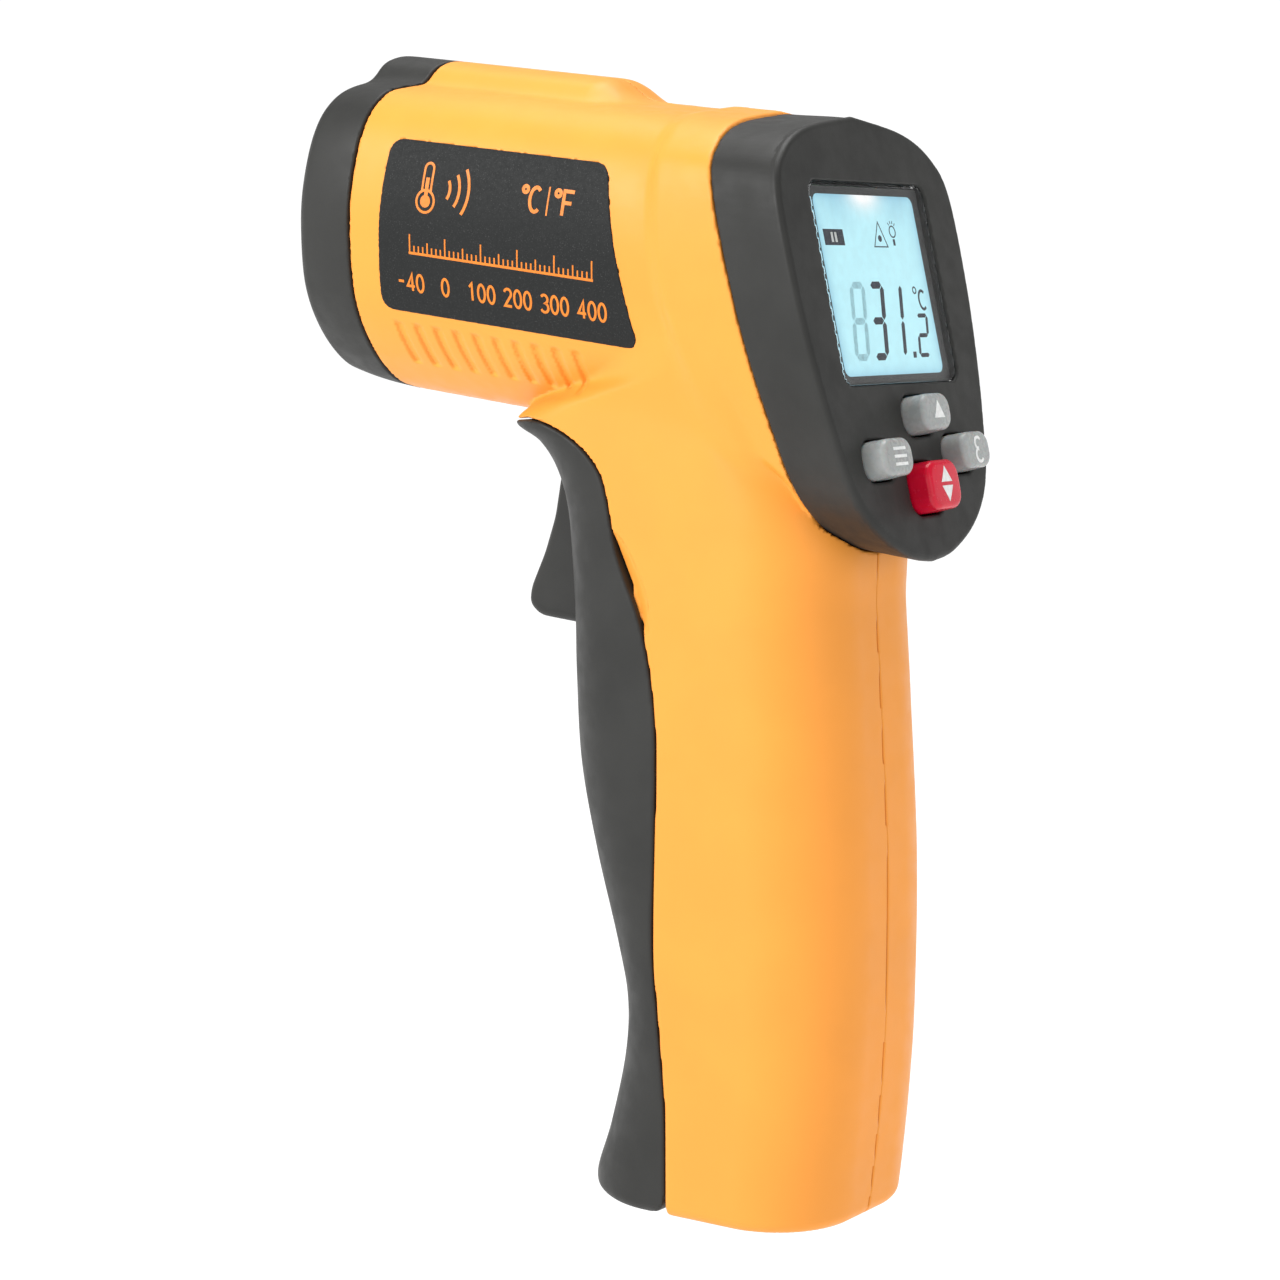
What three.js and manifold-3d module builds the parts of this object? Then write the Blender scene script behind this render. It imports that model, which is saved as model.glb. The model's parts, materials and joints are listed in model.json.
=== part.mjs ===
// Handheld infrared thermometer: pistol-grip body standing on the flat foot of its handle.
// Millimetres. Origin at the centre of the foot, +Z up, +X towards the user, -X towards the target.
import * as THREE from 'three';
import { mergeVertices } from 'three/addons/utils/BufferGeometryUtils.js';
import Module from 'manifold-3d';

const wasm = await Module();
wasm.setup();

// ---------------------------------------------------------------- driving dimensions
const HEAD_PITCH = 7;
const DISPLAY_TILT = 13.1;
const DISPLAY_ORIGIN = [17, 0, 136.1];
const AXIS_LEAN = Math.tan(THREE.MathUtils.degToRad(HEAD_PITCH + DISPLAY_TILT));

const WALL = 2.2;
const GAP = 0.3;
const HALF_GAP = 0.15;
const FAR = 200;

const NOSE_FRONT = -80.4;
const NOSE_LEAN = 0.035;
const NOSE_SEAM = -69;
const NOSE_EDGE = 2.4;
const NOSE_TAPER = 0.06;
const HEAD_REAR = -4;
const HUMP_FRONT = -77.4;
const FLARE_FRONT = -20;
const HEAD_CENTRE = 125;

const HANDLE_HALF_WIDTH = 16.5;
const HANDLE_CORNER = 12;
const HANDLE_HALF_LENGTH = 20;
const HANDLE_TOP = 118;
const FOOT_FILLET = 1.8;

const BEZEL_BACK = -9;
const BEZEL_FACE = 1.2;
const FACE_PLATE = 2.2;
const BEZEL_EDGE = 0.8;
const WINDOW = { width: 29.2, height: 26.6, corner: 2, centre: -11.8 };

const LENS_HEIGHT = 123.5;
const LENS_RADIUS = 7.3;
const TUBE_RADIUS = 8.8;
const LASER_HEIGHT = 139;
const LASER_RADIUS = 3.1;

const TRIGGER_PIVOT = [-20.5, 99];
const TRIGGER_HALF_WIDTH = 6.2;
const TRIGGER_PIN_RADIUS = 1.2;
const CHEEK = { inner: 7, outer: 9.2 };

const DOOR_PIVOT = [-5.2, 2.7];
const DOOR_PIN_RADIUS = 0.9;
const KNUCKLE_RADIUS = 2.3;
const LUG_HALF_WIDTH = 4.5;

const PIN_CLEARANCE = 0.1;
const ROUND = 18;

const BATTERY = { back: 11.5, depth: 17.5, halfWidth: 13.25, bottom: 5.4, height: 46.4 };
const TERMINAL_RADIUS = 2.8;
const TERMINAL_OFFSET = 6.35;

const LABEL_DEPTH = 0.35;
const LABEL_THICKNESS = 0.5;
const RIBS = { count: 10, first: -61.7, pitch: 3.4, top: 112.7, bottom: 107.3, lean: 0.5, width: 0.6, depth: 0.4 };

// Screw bosses: side-view position, frame, and boss radius.
const BOSSES = [
  { x: -14.5, z: 139, tilted: true, radius: 2.8 },
  { x: -64.8, z: 109.5, tilted: true, radius: 2.6 },
  { x: 14.5, z: 72, tilted: false, radius: 2.8 },
  { x: 16.2, z: 8.6, tilted: false, radius: 2.2 },
];
const SCREW = { shaft: 1.1, hole: 1.4, head: 1.9, seat: 2.2, seatDepth: 9.5, headHeight: 1.6, length: 12 };

// Half outline of the head's cross-section (across, up), from keel to crown.
const HEAD_SECTION = [
  [0, 102], [6.5, 103.6], [12.6, 108.3], [17.1, 114.8], [19.4, 123],
  [20, 130], [18.8, 137.5], [15.8, 142.3], [10.5, 144.9], [0, 146.3],
];
// Half outline of the bezel face (across, up from the window's top edge).
const FACE_SECTION = [
  [0, -48.4], [5, -47.6], [11, -45], [15.4, -41.4], [17.9, -37.2], [19.2, -32], [20.6, -24],
  [21.8, -12], [21.5, 0], [18.5, 5], [12, 8.2], [0, 10],
];
// Side view of the handle: front and rear spine (up, along).
const HANDLE_FRONT = [
  [0, -18.4], [3, -19.3], [10, -17], [20, -14.6], [28, -14.2], [36, -15.9], [48, -19.3],
  [60, -21.9], [72, -22.7], [80, -22.9], [88, -23.4], [95, -24.2], [100, -26], [103.5, -28.8],
  [106, -32.8], [109, -27], [112, -20], [118, -12],
];
const HANDLE_REAR = [
  [0, 19.5], [6, 20.3], [16, 21.3], [28, 22], [48, 22.1], [69, 20.9], [82, 20], [96, 19], [118, 8],
];
// Edge of the battery door seen from the side, top tip to foot.
const DOOR_EDGE = [
  [-26.2, 106.6], [-22.8, 106.2], [-19, 104.7], [-15.7, 102.5], [-13.2, 99.6], [-12.1, 96.3],
  [-11.4, 93], [-10.6, 89.6], [-9.2, 86], [-7.4, 82], [-6, 77.6], [-4.9, 72], [-4.2, 64],
  [-4.4, 50], [-4.7, 36.5], [-3.9, 27], [-2.8, 16], [-2.6, 5], [-2.6, -2],
];
// Fingernail notch in the shell behind the door's edge.
const NOTCH = [
  [-12, 92.6], [-9.7, 91.4], [-8.1, 89.1], [-6.4, 86], [-5.5, 83.4], [-5.1, 81.4], [-5.3, 79], [-7.5, 78.4],
];
const TRIGGER_OUTLINE = [
  [-27.4, 99.8], [-28.7, 92.8], [-30.5, 87.7], [-32.9, 82.7], [-33.2, 80.3], [-31.4, 78.7],
  [-24.2, 78], [-18, 78.2], [-16.6, 82], [-16.6, 90], [-17.4, 97], [-17.5, 100.2], [-19.4, 102],
  [-22, 101.9], [-25, 100.4],
];

const COLOURS = {
  orange: 0xff9f2e, dark: 0x3f3f3d, plate: 0x24282c, clear: 0xdcecf0, lcd: 0xa9dfea, greyKey: 0xb4b8b6,
  redKey: 0xb01030, board: 0x1f5a34, steel: 0xb8bcc0, brass: 0xb08a3c, lens: 0x3a3550, black: 0x151515,
  white: 0xe6e6e0, lead: 0xa01818, battery: 0x6b7076,
};

// ---------------------------------------------------------------- helpers
function material(colour, roughness = 0.6, metalness = 0) {
  return new THREE.MeshStandardMaterial({ color: colour, roughness, metalness });
}

function solid(geometry) {
  const bare = geometry.index ? geometry.toNonIndexed() : geometry.clone();
  bare.deleteAttribute('normal');
  bare.deleteAttribute('uv');
  const merged = mergeVertices(bare, 1e-4);
  return new wasm.Manifold(new wasm.Mesh({
    numProp: 3,
    vertProperties: new Float32Array(merged.attributes.position.array),
    triVerts: new Uint32Array(merged.index.array),
  }));
}

function meshOf(name, body, look) {
  let geometry = body;
  if (!body.isBufferGeometry) {
    const data = body.getMesh();
    geometry = new THREE.BufferGeometry();
    geometry.setAttribute('position', new THREE.BufferAttribute(new Float32Array(data.vertProperties), 3));
    geometry.setIndex(new THREE.BufferAttribute(new Uint32Array(data.triVerts), 1));
    geometry.computeVertexNormals();
  }
  const mesh = new THREE.Mesh(geometry, look);
  mesh.name = name;
  return mesh;
}

function unite(solids) {
  return solids.reduce((all, next) => all.add(next));
}

// Smooth value of a table of [station, value] rows.
function along(table, station) {
  const last = table.length - 1;
  let i = 0;
  while (i < last - 1 && station > table[i + 1][0]) i += 1;
  const slope = (a, b) => (table[b][1] - table[a][1]) / (table[b][0] - table[a][0]);
  const step = table[i + 1][0] - table[i][0];
  const t = THREE.MathUtils.clamp((station - table[i][0]) / step, 0, 1);
  const m0 = slope(Math.max(i - 1, 0), i + 1) * step;
  const m1 = slope(i, Math.min(i + 2, last)) * step;
  const t2 = t * t;
  const t3 = t2 * t;
  return (2 * t3 - 3 * t2 + 1) * table[i][1] + (t3 - 2 * t2 + t) * m0
    + (3 * t2 - 2 * t3) * table[i + 1][1] + (t3 - t2) * m1;
}

function polygon(points) {
  return new THREE.Shape(points.map(([x, y]) => new THREE.Vector2(x, y)));
}

// Closed outline from a half outline, mirrored across its vertical axis.
function mirroredOutline(half, samples) {
  const curve = new THREE.SplineCurve(half.map(([x, y]) => new THREE.Vector2(x, y)));
  const side = curve.getPoints(samples);
  side[0].x = 0;
  side[samples].x = 0;
  const other = side.slice(1, samples).reverse().map((p) => new THREE.Vector2(-p.x, p.y));
  return new THREE.Shape([...side, ...other]);
}

function roundedRectangle(width, height, radius, cx = 0, cy = 0) {
  const x = cx - width / 2;
  const y = cy - height / 2;
  const shape = new THREE.Shape();
  shape.moveTo(x + radius, y);
  shape.lineTo(x + width - radius, y);
  shape.absarc(x + width - radius, y + radius, radius, -Math.PI / 2, 0, false);
  shape.lineTo(x + width, y + height - radius);
  shape.absarc(x + width - radius, y + height - radius, radius, 0, Math.PI / 2, false);
  shape.lineTo(x + radius, y + height);
  shape.absarc(x + radius, y + height - radius, radius, Math.PI / 2, Math.PI, false);
  shape.lineTo(x, y + radius);
  shape.absarc(x + radius, y + radius, radius, Math.PI, Math.PI * 1.5, false);
  return shape;
}

// Extrusion between two stations of the local third axis, with rounded ends inside them.
function extrusion(shape, from, to, { edge = 0, inset = 0, steps = 1, segments = 2, curve = 2 } = {}) {
  const geometry = new THREE.ExtrudeGeometry(shape, {
    depth: to - from - 2 * edge,
    steps,
    curveSegments: curve,
    bevelEnabled: edge > 0 || inset !== 0,
    bevelThickness: edge,
    bevelSize: edge,
    bevelOffset: -edge - inset,
    bevelSegments: edge > 0 ? segments : 1,
  });
  geometry.translate(0, 0, from + edge);
  return geometry;
}

// Outline in (across, up), extruded along +X.
function alongX(shape, from, to, options) {
  const turn = new THREE.Matrix4().makeBasis(
    new THREE.Vector3(0, 1, 0), new THREE.Vector3(0, 0, 1), new THREE.Vector3(1, 0, 0),
  );
  return extrusion(shape, from, to, options).applyMatrix4(turn);
}

// Outline in (along, up), extruded along Y.
function alongY(shape, from, to, options) {
  return extrusion(shape, -to, -from, options).rotateX(Math.PI / 2);
}

function box(x0, x1, y0, y1, z0, z1) {
  const geometry = new THREE.BoxGeometry(x1 - x0, y1 - y0, z1 - z0);
  return geometry.translate((x0 + x1) / 2, (y0 + y1) / 2, (z0 + z1) / 2);
}

function cylinderX(radius, x0, x1, z, y = 0, radiusBack = radius, sides = ROUND) {
  const geometry = new THREE.CylinderGeometry(radiusBack, radius, x1 - x0, sides);
  return geometry.rotateZ(-Math.PI / 2).translate((x0 + x1) / 2, y, z);
}

function cylinderY(radius, y0, y1, x, z, sides = ROUND) {
  return new THREE.CylinderGeometry(radius, radius, y1 - y0, sides).translate(x, (y0 + y1) / 2, z);
}

function reshape(geometry, change) {
  const position = geometry.attributes.position;
  const point = new THREE.Vector3();
  for (let i = 0; i < position.count; i += 1) {
    point.fromBufferAttribute(position, i);
    change(point);
    position.setXYZ(i, point.x, point.y, point.z);
  }
  return geometry;
}

const headFrame = new THREE.Matrix4().makeRotationY(THREE.MathUtils.degToRad(HEAD_PITCH));
const displayFrame = new THREE.Matrix4().makeRotationY(THREE.MathUtils.degToRad(-DISPLAY_TILT))
  .setPosition(...DISPLAY_ORIGIN);

function fromHead(geometry) {
  return geometry.clone().applyMatrix4(headFrame);
}

function fromDisplay(geometry) {
  return geometry.clone().applyMatrix4(displayFrame);
}

// ---------------------------------------------------------------- outer forms
// Head barrel in its own tilted frame, narrowing a little towards the rounded nose.
function headForm(inset, from, to, edge) {
  const shape = mirroredOutline(HEAD_SECTION, 12);
  const geometry = alongX(shape, from, to, { edge, inset, steps: 4, segments: 2 });
  return reshape(geometry, (p) => {
    const ahead = Math.max(0, NOSE_SEAM - p.x) / (NOSE_SEAM - NOSE_FRONT);
    const scale = 1 - NOSE_TAPER * ahead * ahead;
    p.x += NOSE_LEAN * (p.z - 112) * Math.min(1, ahead);
    p.y *= scale;
    p.z = HEAD_CENTRE + (p.z - HEAD_CENTRE) * scale;
  });
}

// Low ridge on top of the head that fades out behind.
function humpForm() {
  const half = [[0, 141], [8.4, 142], [8, 145.2], [6.2, 147.6], [3.2, 148.7], [0, 148.9]];
  const geometry = alongX(mirroredOutline(half, 6), HUMP_FRONT, -30, { edge: 1.8, steps: 9 });
  return reshape(geometry, (p) => {
    p.z -= 4.6 * THREE.MathUtils.smoothstep(p.x, -40, -30);
  });
}

// Form with the bezel's outline, leaning with the head's axis, in the display's frame.
function rearForm(inset, from, to, edge) {
  const shape = mirroredOutline(FACE_SECTION, 13);
  const geometry = alongX(shape, from, to, { edge, inset, steps: 2, segments: 2 });
  return reshape(geometry, (p) => {
    const low = THREE.MathUtils.smoothstep(-p.z, 18, 40);
    const back = Math.min(0, p.x - BEZEL_FACE) / 10;
    p.y *= 1 + (0.03 + 0.07 * low) * back;
    p.z -= AXIS_LEAN * Math.min(0, p.x);
  });
}

function handleForm(inset, from, to, edge) {
  const full = 2 * (HANDLE_HALF_LENGTH - inset);
  const across = 2 * (HANDLE_HALF_WIDTH - inset);
  const shape = roundedRectangle(full, across, HANDLE_CORNER - inset);
  const geometry = extrusion(shape, from, to, { edge, steps: 13, segments: 2, curve: 3 });
  return reshape(geometry, (p) => {
    const end = p.x < 0 ? along(HANDLE_FRONT, p.z) : along(HANDLE_REAR, p.z);
    p.x += p.x < 0 ? end + HANDLE_HALF_LENGTH : end - HANDLE_HALF_LENGTH;
  });
}

// Everything ahead of the door's edge, as a slab seen from the side.
function doorRegion(clearance, halfWidth) {
  const edge = new THREE.SplineCurve(DOOR_EDGE.map(([x, z]) => new THREE.Vector2(x, z))).getPoints(26);
  const shifted = edge.map((p) => [p.x + clearance, p.y + (p.y > 100 ? clearance : 0)]);
  const outline = [...shifted, [-FAR, -2], [-FAR, 104.6 + clearance], [-40, 104.6 + clearance], [-35, 105.9 + clearance]];
  return alongY(polygon(outline), -halfWidth, halfWidth);
}

function labelOutline(grow) {
  const corners = [[-63.2, 137.9], [-26.8, 138], [-20.2, 114.5], [-63.9, 114.5]];
  const cut = 2.2;
  const shape = new THREE.Shape();
  const centre = new THREE.Vector2(-42, 126.5);
  const grown = corners.map(([x, z]) => {
    const p = new THREE.Vector2(x, z);
    return p.add(p.clone().sub(centre).normalize().multiplyScalar(grow * 1.3));
  });
  grown.forEach((corner, i) => {
    const before = grown[(i + grown.length - 1) % grown.length].clone().sub(corner).normalize();
    const after = grown[(i + 1) % grown.length].clone().sub(corner).normalize();
    const start = corner.clone().addScaledVector(before, cut);
    const end = corner.clone().addScaledVector(after, cut);
    if (i === 0) shape.moveTo(start.x, start.y);
    else shape.lineTo(start.x, start.y);
    shape.quadraticCurveTo(corner.x, corner.y, end.x, end.y);
  });
  return shape;
}

// ---------------------------------------------------------------- shells
function gripRib(index) {
  const x = RIBS.first + index * RIBS.pitch;
  const middle = (RIBS.top + RIBS.bottom) / 2;
  const bow = new THREE.Vector2(x + RIBS.lean * 0.3, middle);
  const w = RIBS.width;
  const shape = new THREE.Shape();
  shape.moveTo(x - w, RIBS.top);
  shape.quadraticCurveTo(bow.x - w, bow.y, x + RIBS.lean - w, RIBS.bottom);
  shape.lineTo(x + RIBS.lean + w, RIBS.bottom);
  shape.quadraticCurveTo(bow.x + w, bow.y, x + w, RIBS.top);
  return solid(fromHead(alongY(shape, -30, 30)));
}

function surfaceCuts() {
  const labelCut = solid(fromHead(alongY(labelOutline(HALF_GAP), -30, 30, { curve: 3 })))
    .subtract(solid(fromHead(headForm(LABEL_DEPTH + LABEL_THICKNESS + HALF_GAP, -100, 10, 0))));
  const ribs = unite(Array.from({ length: RIBS.count }, (_, i) => gripRib(i)))
    .subtract(solid(fromHead(headForm(RIBS.depth, -100, 10, 0))))
    .subtract(solid(handleForm(RIBS.depth, RIBS.depth, HANDLE_TOP, 0)));
  return labelCut.add(ribs);
}

function boss(place, radius, from, to) {
  const geometry = cylinderY(radius, from, to, place.x, place.z, 16);
  return solid(place.tilted ? geometry.applyMatrix4(headFrame) : geometry);
}

// Ear that carries the trigger pin, hanging from the head's underside.
function triggerEar(side) {
  const [x, z] = TRIGGER_PIVOT;
  const shape = polygon([[x - 2.3, z - 1], [x - 1, z - 2.4], [x + 9, z - 2.4], [x + 12, z + 10], [x - 2.3, z + 10]]);
  const ear = solid(alongY(shape, Math.min(side * CHEEK.inner, side * CHEEK.outer),
    Math.max(side * CHEEK.inner, side * CHEEK.outer)));
  const bore = cylinderY(TRIGGER_PIN_RADIUS + PIN_CLEARANCE, -CHEEK.outer + 0.8, CHEEK.outer - 0.8, x, z);
  return ear.subtract(solid(bore));
}

// Lug at the foot that the battery door's pin runs through.
function doorLug() {
  const [x, z] = DOOR_PIVOT;
  const eye = solid(cylinderY(2, -LUG_HALF_WIDTH, LUG_HALF_WIDTH, x, z));
  const neck = solid(box(x, 1, -LUG_HALF_WIDTH, LUG_HALF_WIDTH, z - 0.2, z + 1.9))
    .add(solid(box(-2.2, 1, -LUG_HALF_WIDTH, LUG_HALF_WIDTH, 0.5, z + 1.9)));
  const bore = solid(cylinderY(DOOR_PIN_RADIUS + PIN_CLEARANCE, -FAR, FAR, x, z));
  return eye.add(neck).subtract(bore);
}

// Rib across both halves that the trigger spring and switch rest on.
function springRib() {
  return solid(box(-8.4, -6.8, -15, 15, 80.5, 94.5));
}

function bodyShell() {
  const displaySpace = solid(fromDisplay(box(BEZEL_BACK - GAP, 60, -50, 50, -52, 40)));
  const ahead = solid(fromHead(box(-FAR, NOSE_SEAM, -50, 50, 0, 300)));
  const handle = solid(handleForm(0, 0, HANDLE_TOP, FOOT_FILLET))
    .subtract(solid(doorRegion(GAP, 40)));
  const outer = unite([
    solid(fromHead(headForm(0, NOSE_FRONT, HEAD_REAR, NOSE_EDGE))),
    solid(fromHead(humpForm())),
    solid(fromDisplay(rearForm(0, FLARE_FRONT, 0, 1.6))),
    handle,
  ]);
  const hollow = unite([
    solid(fromHead(headForm(WALL, NOSE_SEAM - 4, HEAD_REAR, 0))),
    solid(fromDisplay(rearForm(WALL, -20, 0, 0))),
    solid(handleForm(WALL, WALL, HANDLE_TOP - 6, 0)).subtract(solid(box(-FAR, -12, -FAR, FAR, 96, FAR))),
  ]);
  const notch = solid(alongY(polygon(NOTCH), -40, 40))
    .subtract(solid(box(-FAR, FAR, -HANDLE_HALF_WIDTH + 2.6, HANDLE_HALF_WIDTH - 2.6, 0, FAR)));
  const fittings = unite([
    ...BOSSES.map((place) => boss(place, place.radius, -30, 30)),
    springRib(),
  ]).intersect(outer);
  return outer.subtract(hollow).subtract(notch).add(fittings)
    .add(triggerEar(1)).add(triggerEar(-1)).add(doorLug())
    .subtract(displaySpace)
    .subtract(ahead)
    .subtract(surfaceCuts());
}

function shellHalves() {
  const body = bodyShell();
  const left = body.intersect(solid(box(-FAR, FAR, -FAR, -HALF_GAP, -FAR, FAR)));
  const right = body.intersect(solid(box(-FAR, FAR, HALF_GAP, FAR, -FAR, FAR)));
  const blind = unite(BOSSES.map((place) => boss(place, SCREW.hole, -4.5, 1)));
  const through = unite(BOSSES.map((place) => boss(place, SCREW.hole, -1, 30)));
  const seats = unite(BOSSES.map((place) => boss(place, SCREW.seat, SCREW.seatDepth, 30)));
  return [left.subtract(blind), right.subtract(through).subtract(seats)];
}

function screw(index) {
  const place = BOSSES[index];
  const head = solid(cylinderY(SCREW.head, SCREW.seatDepth + 0.1, SCREW.seatDepth + SCREW.headHeight, 0, 0, 16));
  const shaft = solid(cylinderY(SCREW.shaft, SCREW.seatDepth - SCREW.length, SCREW.seatDepth + 0.5, 0, 0, 16));
  const slotLong = solid(box(-1.1, 1.1, SCREW.seatDepth + 1, 30, -0.22, 0.22));
  const slotShort = solid(box(-0.22, 0.22, SCREW.seatDepth + 1, 30, -1.1, 1.1));
  const mesh = meshOf(`shell_screw_${index + 1}`, head.add(shaft).subtract(slotLong).subtract(slotShort),
    material(COLOURS.steel, 0.35, 1));
  mesh.position.set(place.x, 0, place.z);
  return mesh;
}

// ---------------------------------------------------------------- nose and optics
function noseCap() {
  const body = solid(headForm(0, NOSE_FRONT, NOSE_SEAM + 8, NOSE_EDGE)).add(solid(humpForm()));
  const behind = solid(box(NOSE_SEAM - GAP, FAR, -FAR, FAR, 0, FAR));
  const hollow = solid(headForm(2.4, NOSE_FRONT + 3.2, NOSE_SEAM + 6, 0));
  const face = solid(headForm(3.2, NOSE_FRONT - 3, NOSE_FRONT + 1.2, 0));
  const lensWell = solid(cylinderX(10.2, NOSE_FRONT - 0.5, NOSE_FRONT + 4.6, LENS_HEIGHT, 0, 7.6, 24));
  const laserHole = solid(cylinderX(2.2, NOSE_FRONT - 1, NOSE_FRONT + 7, LASER_HEIGHT));
  const windowSeat = solid(cylinderX(2.9, NOSE_FRONT + 1.9, NOSE_FRONT + 3.3, LASER_HEIGHT));
  const look = material(COLOURS.dark);
  return meshOf('nose_cap', body.subtract(behind).subtract(hollow).subtract(face)
    .subtract(lensWell).subtract(laserHole).subtract(windowSeat), look);
}

function turned(name, profile, look, x = 0, z = LENS_HEIGHT, sides = 24) {
  const points = profile.map(([radius, station]) => new THREE.Vector2(radius, station));
  const geometry = new THREE.LatheGeometry(points, sides);
  geometry.rotateZ(-Math.PI / 2);
  const mesh = meshOf(name, solid(geometry), look);
  mesh.position.set(x, 0, z);
  return mesh;
}

function optics() {
  const steel = material(COLOURS.steel, 0.3, 1);
  const dark = material(COLOURS.black, 0.5);
  const tubeFront = -76.2;
  const tube = [[6.4, 25.2], [6.4, 3.8], [7.7, 3.8], [7.7, 0], [TUBE_RADIUS, 0], [TUBE_RADIUS, 25.2], [6.4, 25.2]];
  const retainer = [[6.3, 0.1], [7.4, 0.1], [7.4, 1.5], [6.3, 1.5], [6.3, 0.1]];
  const lens = [[0, 1.8], [3.5, 1.95], [6, 2.25], [LENS_RADIUS, 2.5], [LENS_RADIUS, 3.5], [0, 3.5]];
  const sensor = [[0, 20.6], [1.6, 20.6], [1.6, 20.4], [4.1, 20.4], [4.1, 24], [4.6, 24], [4.6, 24.8], [0, 24.8]];
  const laser = [[0, 0], [LASER_RADIUS, 0], [LASER_RADIUS, 14], [0, 14]];
  const windowDisc = [[0, 0], [2.6, 0], [2.6, 0.8], [0, 0.8]];
  const sensorBoard = alongX(roundedRectangle(16, 16, 4, 0, LENS_HEIGHT), -50.6, -49.4);
  return [
    turned('lens_tube', tube, material(COLOURS.dark, 0.5), tubeFront),
    turned('lens_retainer', retainer, steel, tubeFront),
    turned('ir_lens', lens, material(COLOURS.lens, 0.15), tubeFront),
    turned('thermopile_sensor', sensor, steel, tubeFront),
    turned('laser_module', laser, material(COLOURS.brass, 0.35, 1), NOSE_FRONT + 5.4, LASER_HEIGHT, ROUND),
    turned('laser_window', windowDisc, material(COLOURS.clear, 0.1), NOSE_FRONT + 2.2, LASER_HEIGHT, ROUND),
    meshOf('sensor_board', sensorBoard, material(COLOURS.board, 0.5)),
  ];
}

// ---------------------------------------------------------------- head electronics
function mainBoard() {
  const board = solid(box(-45.5, -20, 10, 11.4, 112, 137));
  return meshOf('main_board', board, material(COLOURS.board, 0.5));
}

function headParts() {
  const dark = material(COLOURS.black, 0.5);
  const buzzer = solid(cylinderY(4.8, 5.4, 9.7, -39, 129)).subtract(solid(cylinderY(1, 0, 6.2, -39, 129)));
  const chip = box(-32, -24, 8.1, 9.7, 120, 128);
  return [mainBoard(), meshOf('buzzer', buzzer, dark), meshOf('processor_chip', chip, dark)];
}

function sideLabel(name, side) {
  const slab = side > 0 ? [0, 30] : [-30, 0];
  const outline = labelOutline(0);
  const plate = solid(alongY(outline, slab[0], slab[1], { curve: 3 }))
    .intersect(solid(headForm(LABEL_DEPTH, -90, 10, 0)))
    .subtract(solid(headForm(LABEL_DEPTH + LABEL_THICKNESS, -100, 20, 0)));
  return meshOf(name, plate, material(COLOURS.plate, 0.55));
}

// ---------------------------------------------------------------- display end
const KEYS = [
  { name: 'key_up', y: 1.8, w: 29.4, width: 7.2, height: 5, corner: 2, colour: COLOURS.greyKey },
  { name: 'key_left', y: -10, w: 34.8, width: 7.3, height: 5, corner: 2, colour: COLOURS.greyKey },
  { name: 'key_right', y: 10.3, w: 34.8, width: 7.3, height: 5, corner: 2, colour: COLOURS.greyKey },
  { name: 'key_red', y: 0.4, w: 38.9, width: 8, height: 6.6, corner: 2.2, colour: COLOURS.redKey },
];
const KEY = { inner: -2.1, outer: 4.4, edge: 1, fit: 0.25 };

function displayBezel() {
  const body = solid(rearForm(0, BEZEL_BACK - 3, BEZEL_FACE, BEZEL_EDGE));
  const ahead = solid(box(-FAR, BEZEL_BACK, -FAR, FAR, -FAR, FAR));
  const hollow = solid(rearForm(2.1, BEZEL_BACK - 6, BEZEL_FACE - FACE_PLATE, 0));
  const opening = roundedRectangle(WINDOW.width, WINDOW.height, WINDOW.corner, 0, WINDOW.centre);
  const keyHoles = KEYS.map((key) => solid(alongX(
    roundedRectangle(key.width + 2 * KEY.fit, key.height + 2 * KEY.fit, key.corner + KEY.fit, key.y, -key.w),
    -10, 10,
  )));
  return meshOf('display_bezel', body.subtract(ahead).subtract(hollow)
    .subtract(solid(alongX(opening, -10, 10))).subtract(unite(keyHoles)), material(COLOURS.dark));
}

function key(spec) {
  const shape = roundedRectangle(spec.width, spec.height, spec.corner);
  const cap = solid(alongX(shape, KEY.inner - KEY.edge, KEY.outer, { edge: KEY.edge }))
    .subtract(solid(box(KEY.inner - 5, KEY.inner, -10, 10, -10, 10)));
  const mesh = meshOf(spec.name, cap, material(spec.colour, 0.3));
  mesh.position.set(0, spec.y, -spec.w);
  return mesh;
}

function keypadMembrane() {
  const sheet = solid(alongX(polygon([[-14.5, -26.4], [-14, -34], [-7, -41], [7, -41], [14, -34], [14.5, -26.4]]), -5.2, -4));
  const domes = KEYS.map((spec) => solid(cylinderX(1.6, -4.4, -3.4, -spec.w, spec.y, 2.2, 16)));
  return meshOf('keypad_membrane', sheet.add(unite(domes)), material(COLOURS.white, 0.7));
}

function displayParts() {
  const w = WINDOW;
  const pane = alongX(roundedRectangle(w.width - 0.6, w.height - 0.6, w.corner, 0, w.centre), 0.1, 1);
  const panel = alongX(roundedRectangle(28.2, 25.6, 0.6, 0, w.centre), -2.2, -0.2);
  const light = alongX(roundedRectangle(27.6, 25, 0.6, 0, w.centre), -4.9, -2.5);
  const board = alongX(polygon([[-14.5, 7], [14.5, 7], [14.5, -24], [10.5, -37], [-10.5, -37], [-14.5, -24]]), -7.9, -6.4);
  return [
    displayBezel(),
    meshOf('display_window', pane, material(COLOURS.clear, 0.05)),
    meshOf('lcd_panel', panel, material(COLOURS.lcd, 0.3)),
    meshOf('lcd_backlight', light, material(COLOURS.white, 0.4)),
    meshOf('display_board', board, material(COLOURS.board, 0.5)),
    keypadMembrane(),
    ...KEYS.map((spec) => key(spec)),
  ];
}

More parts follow.
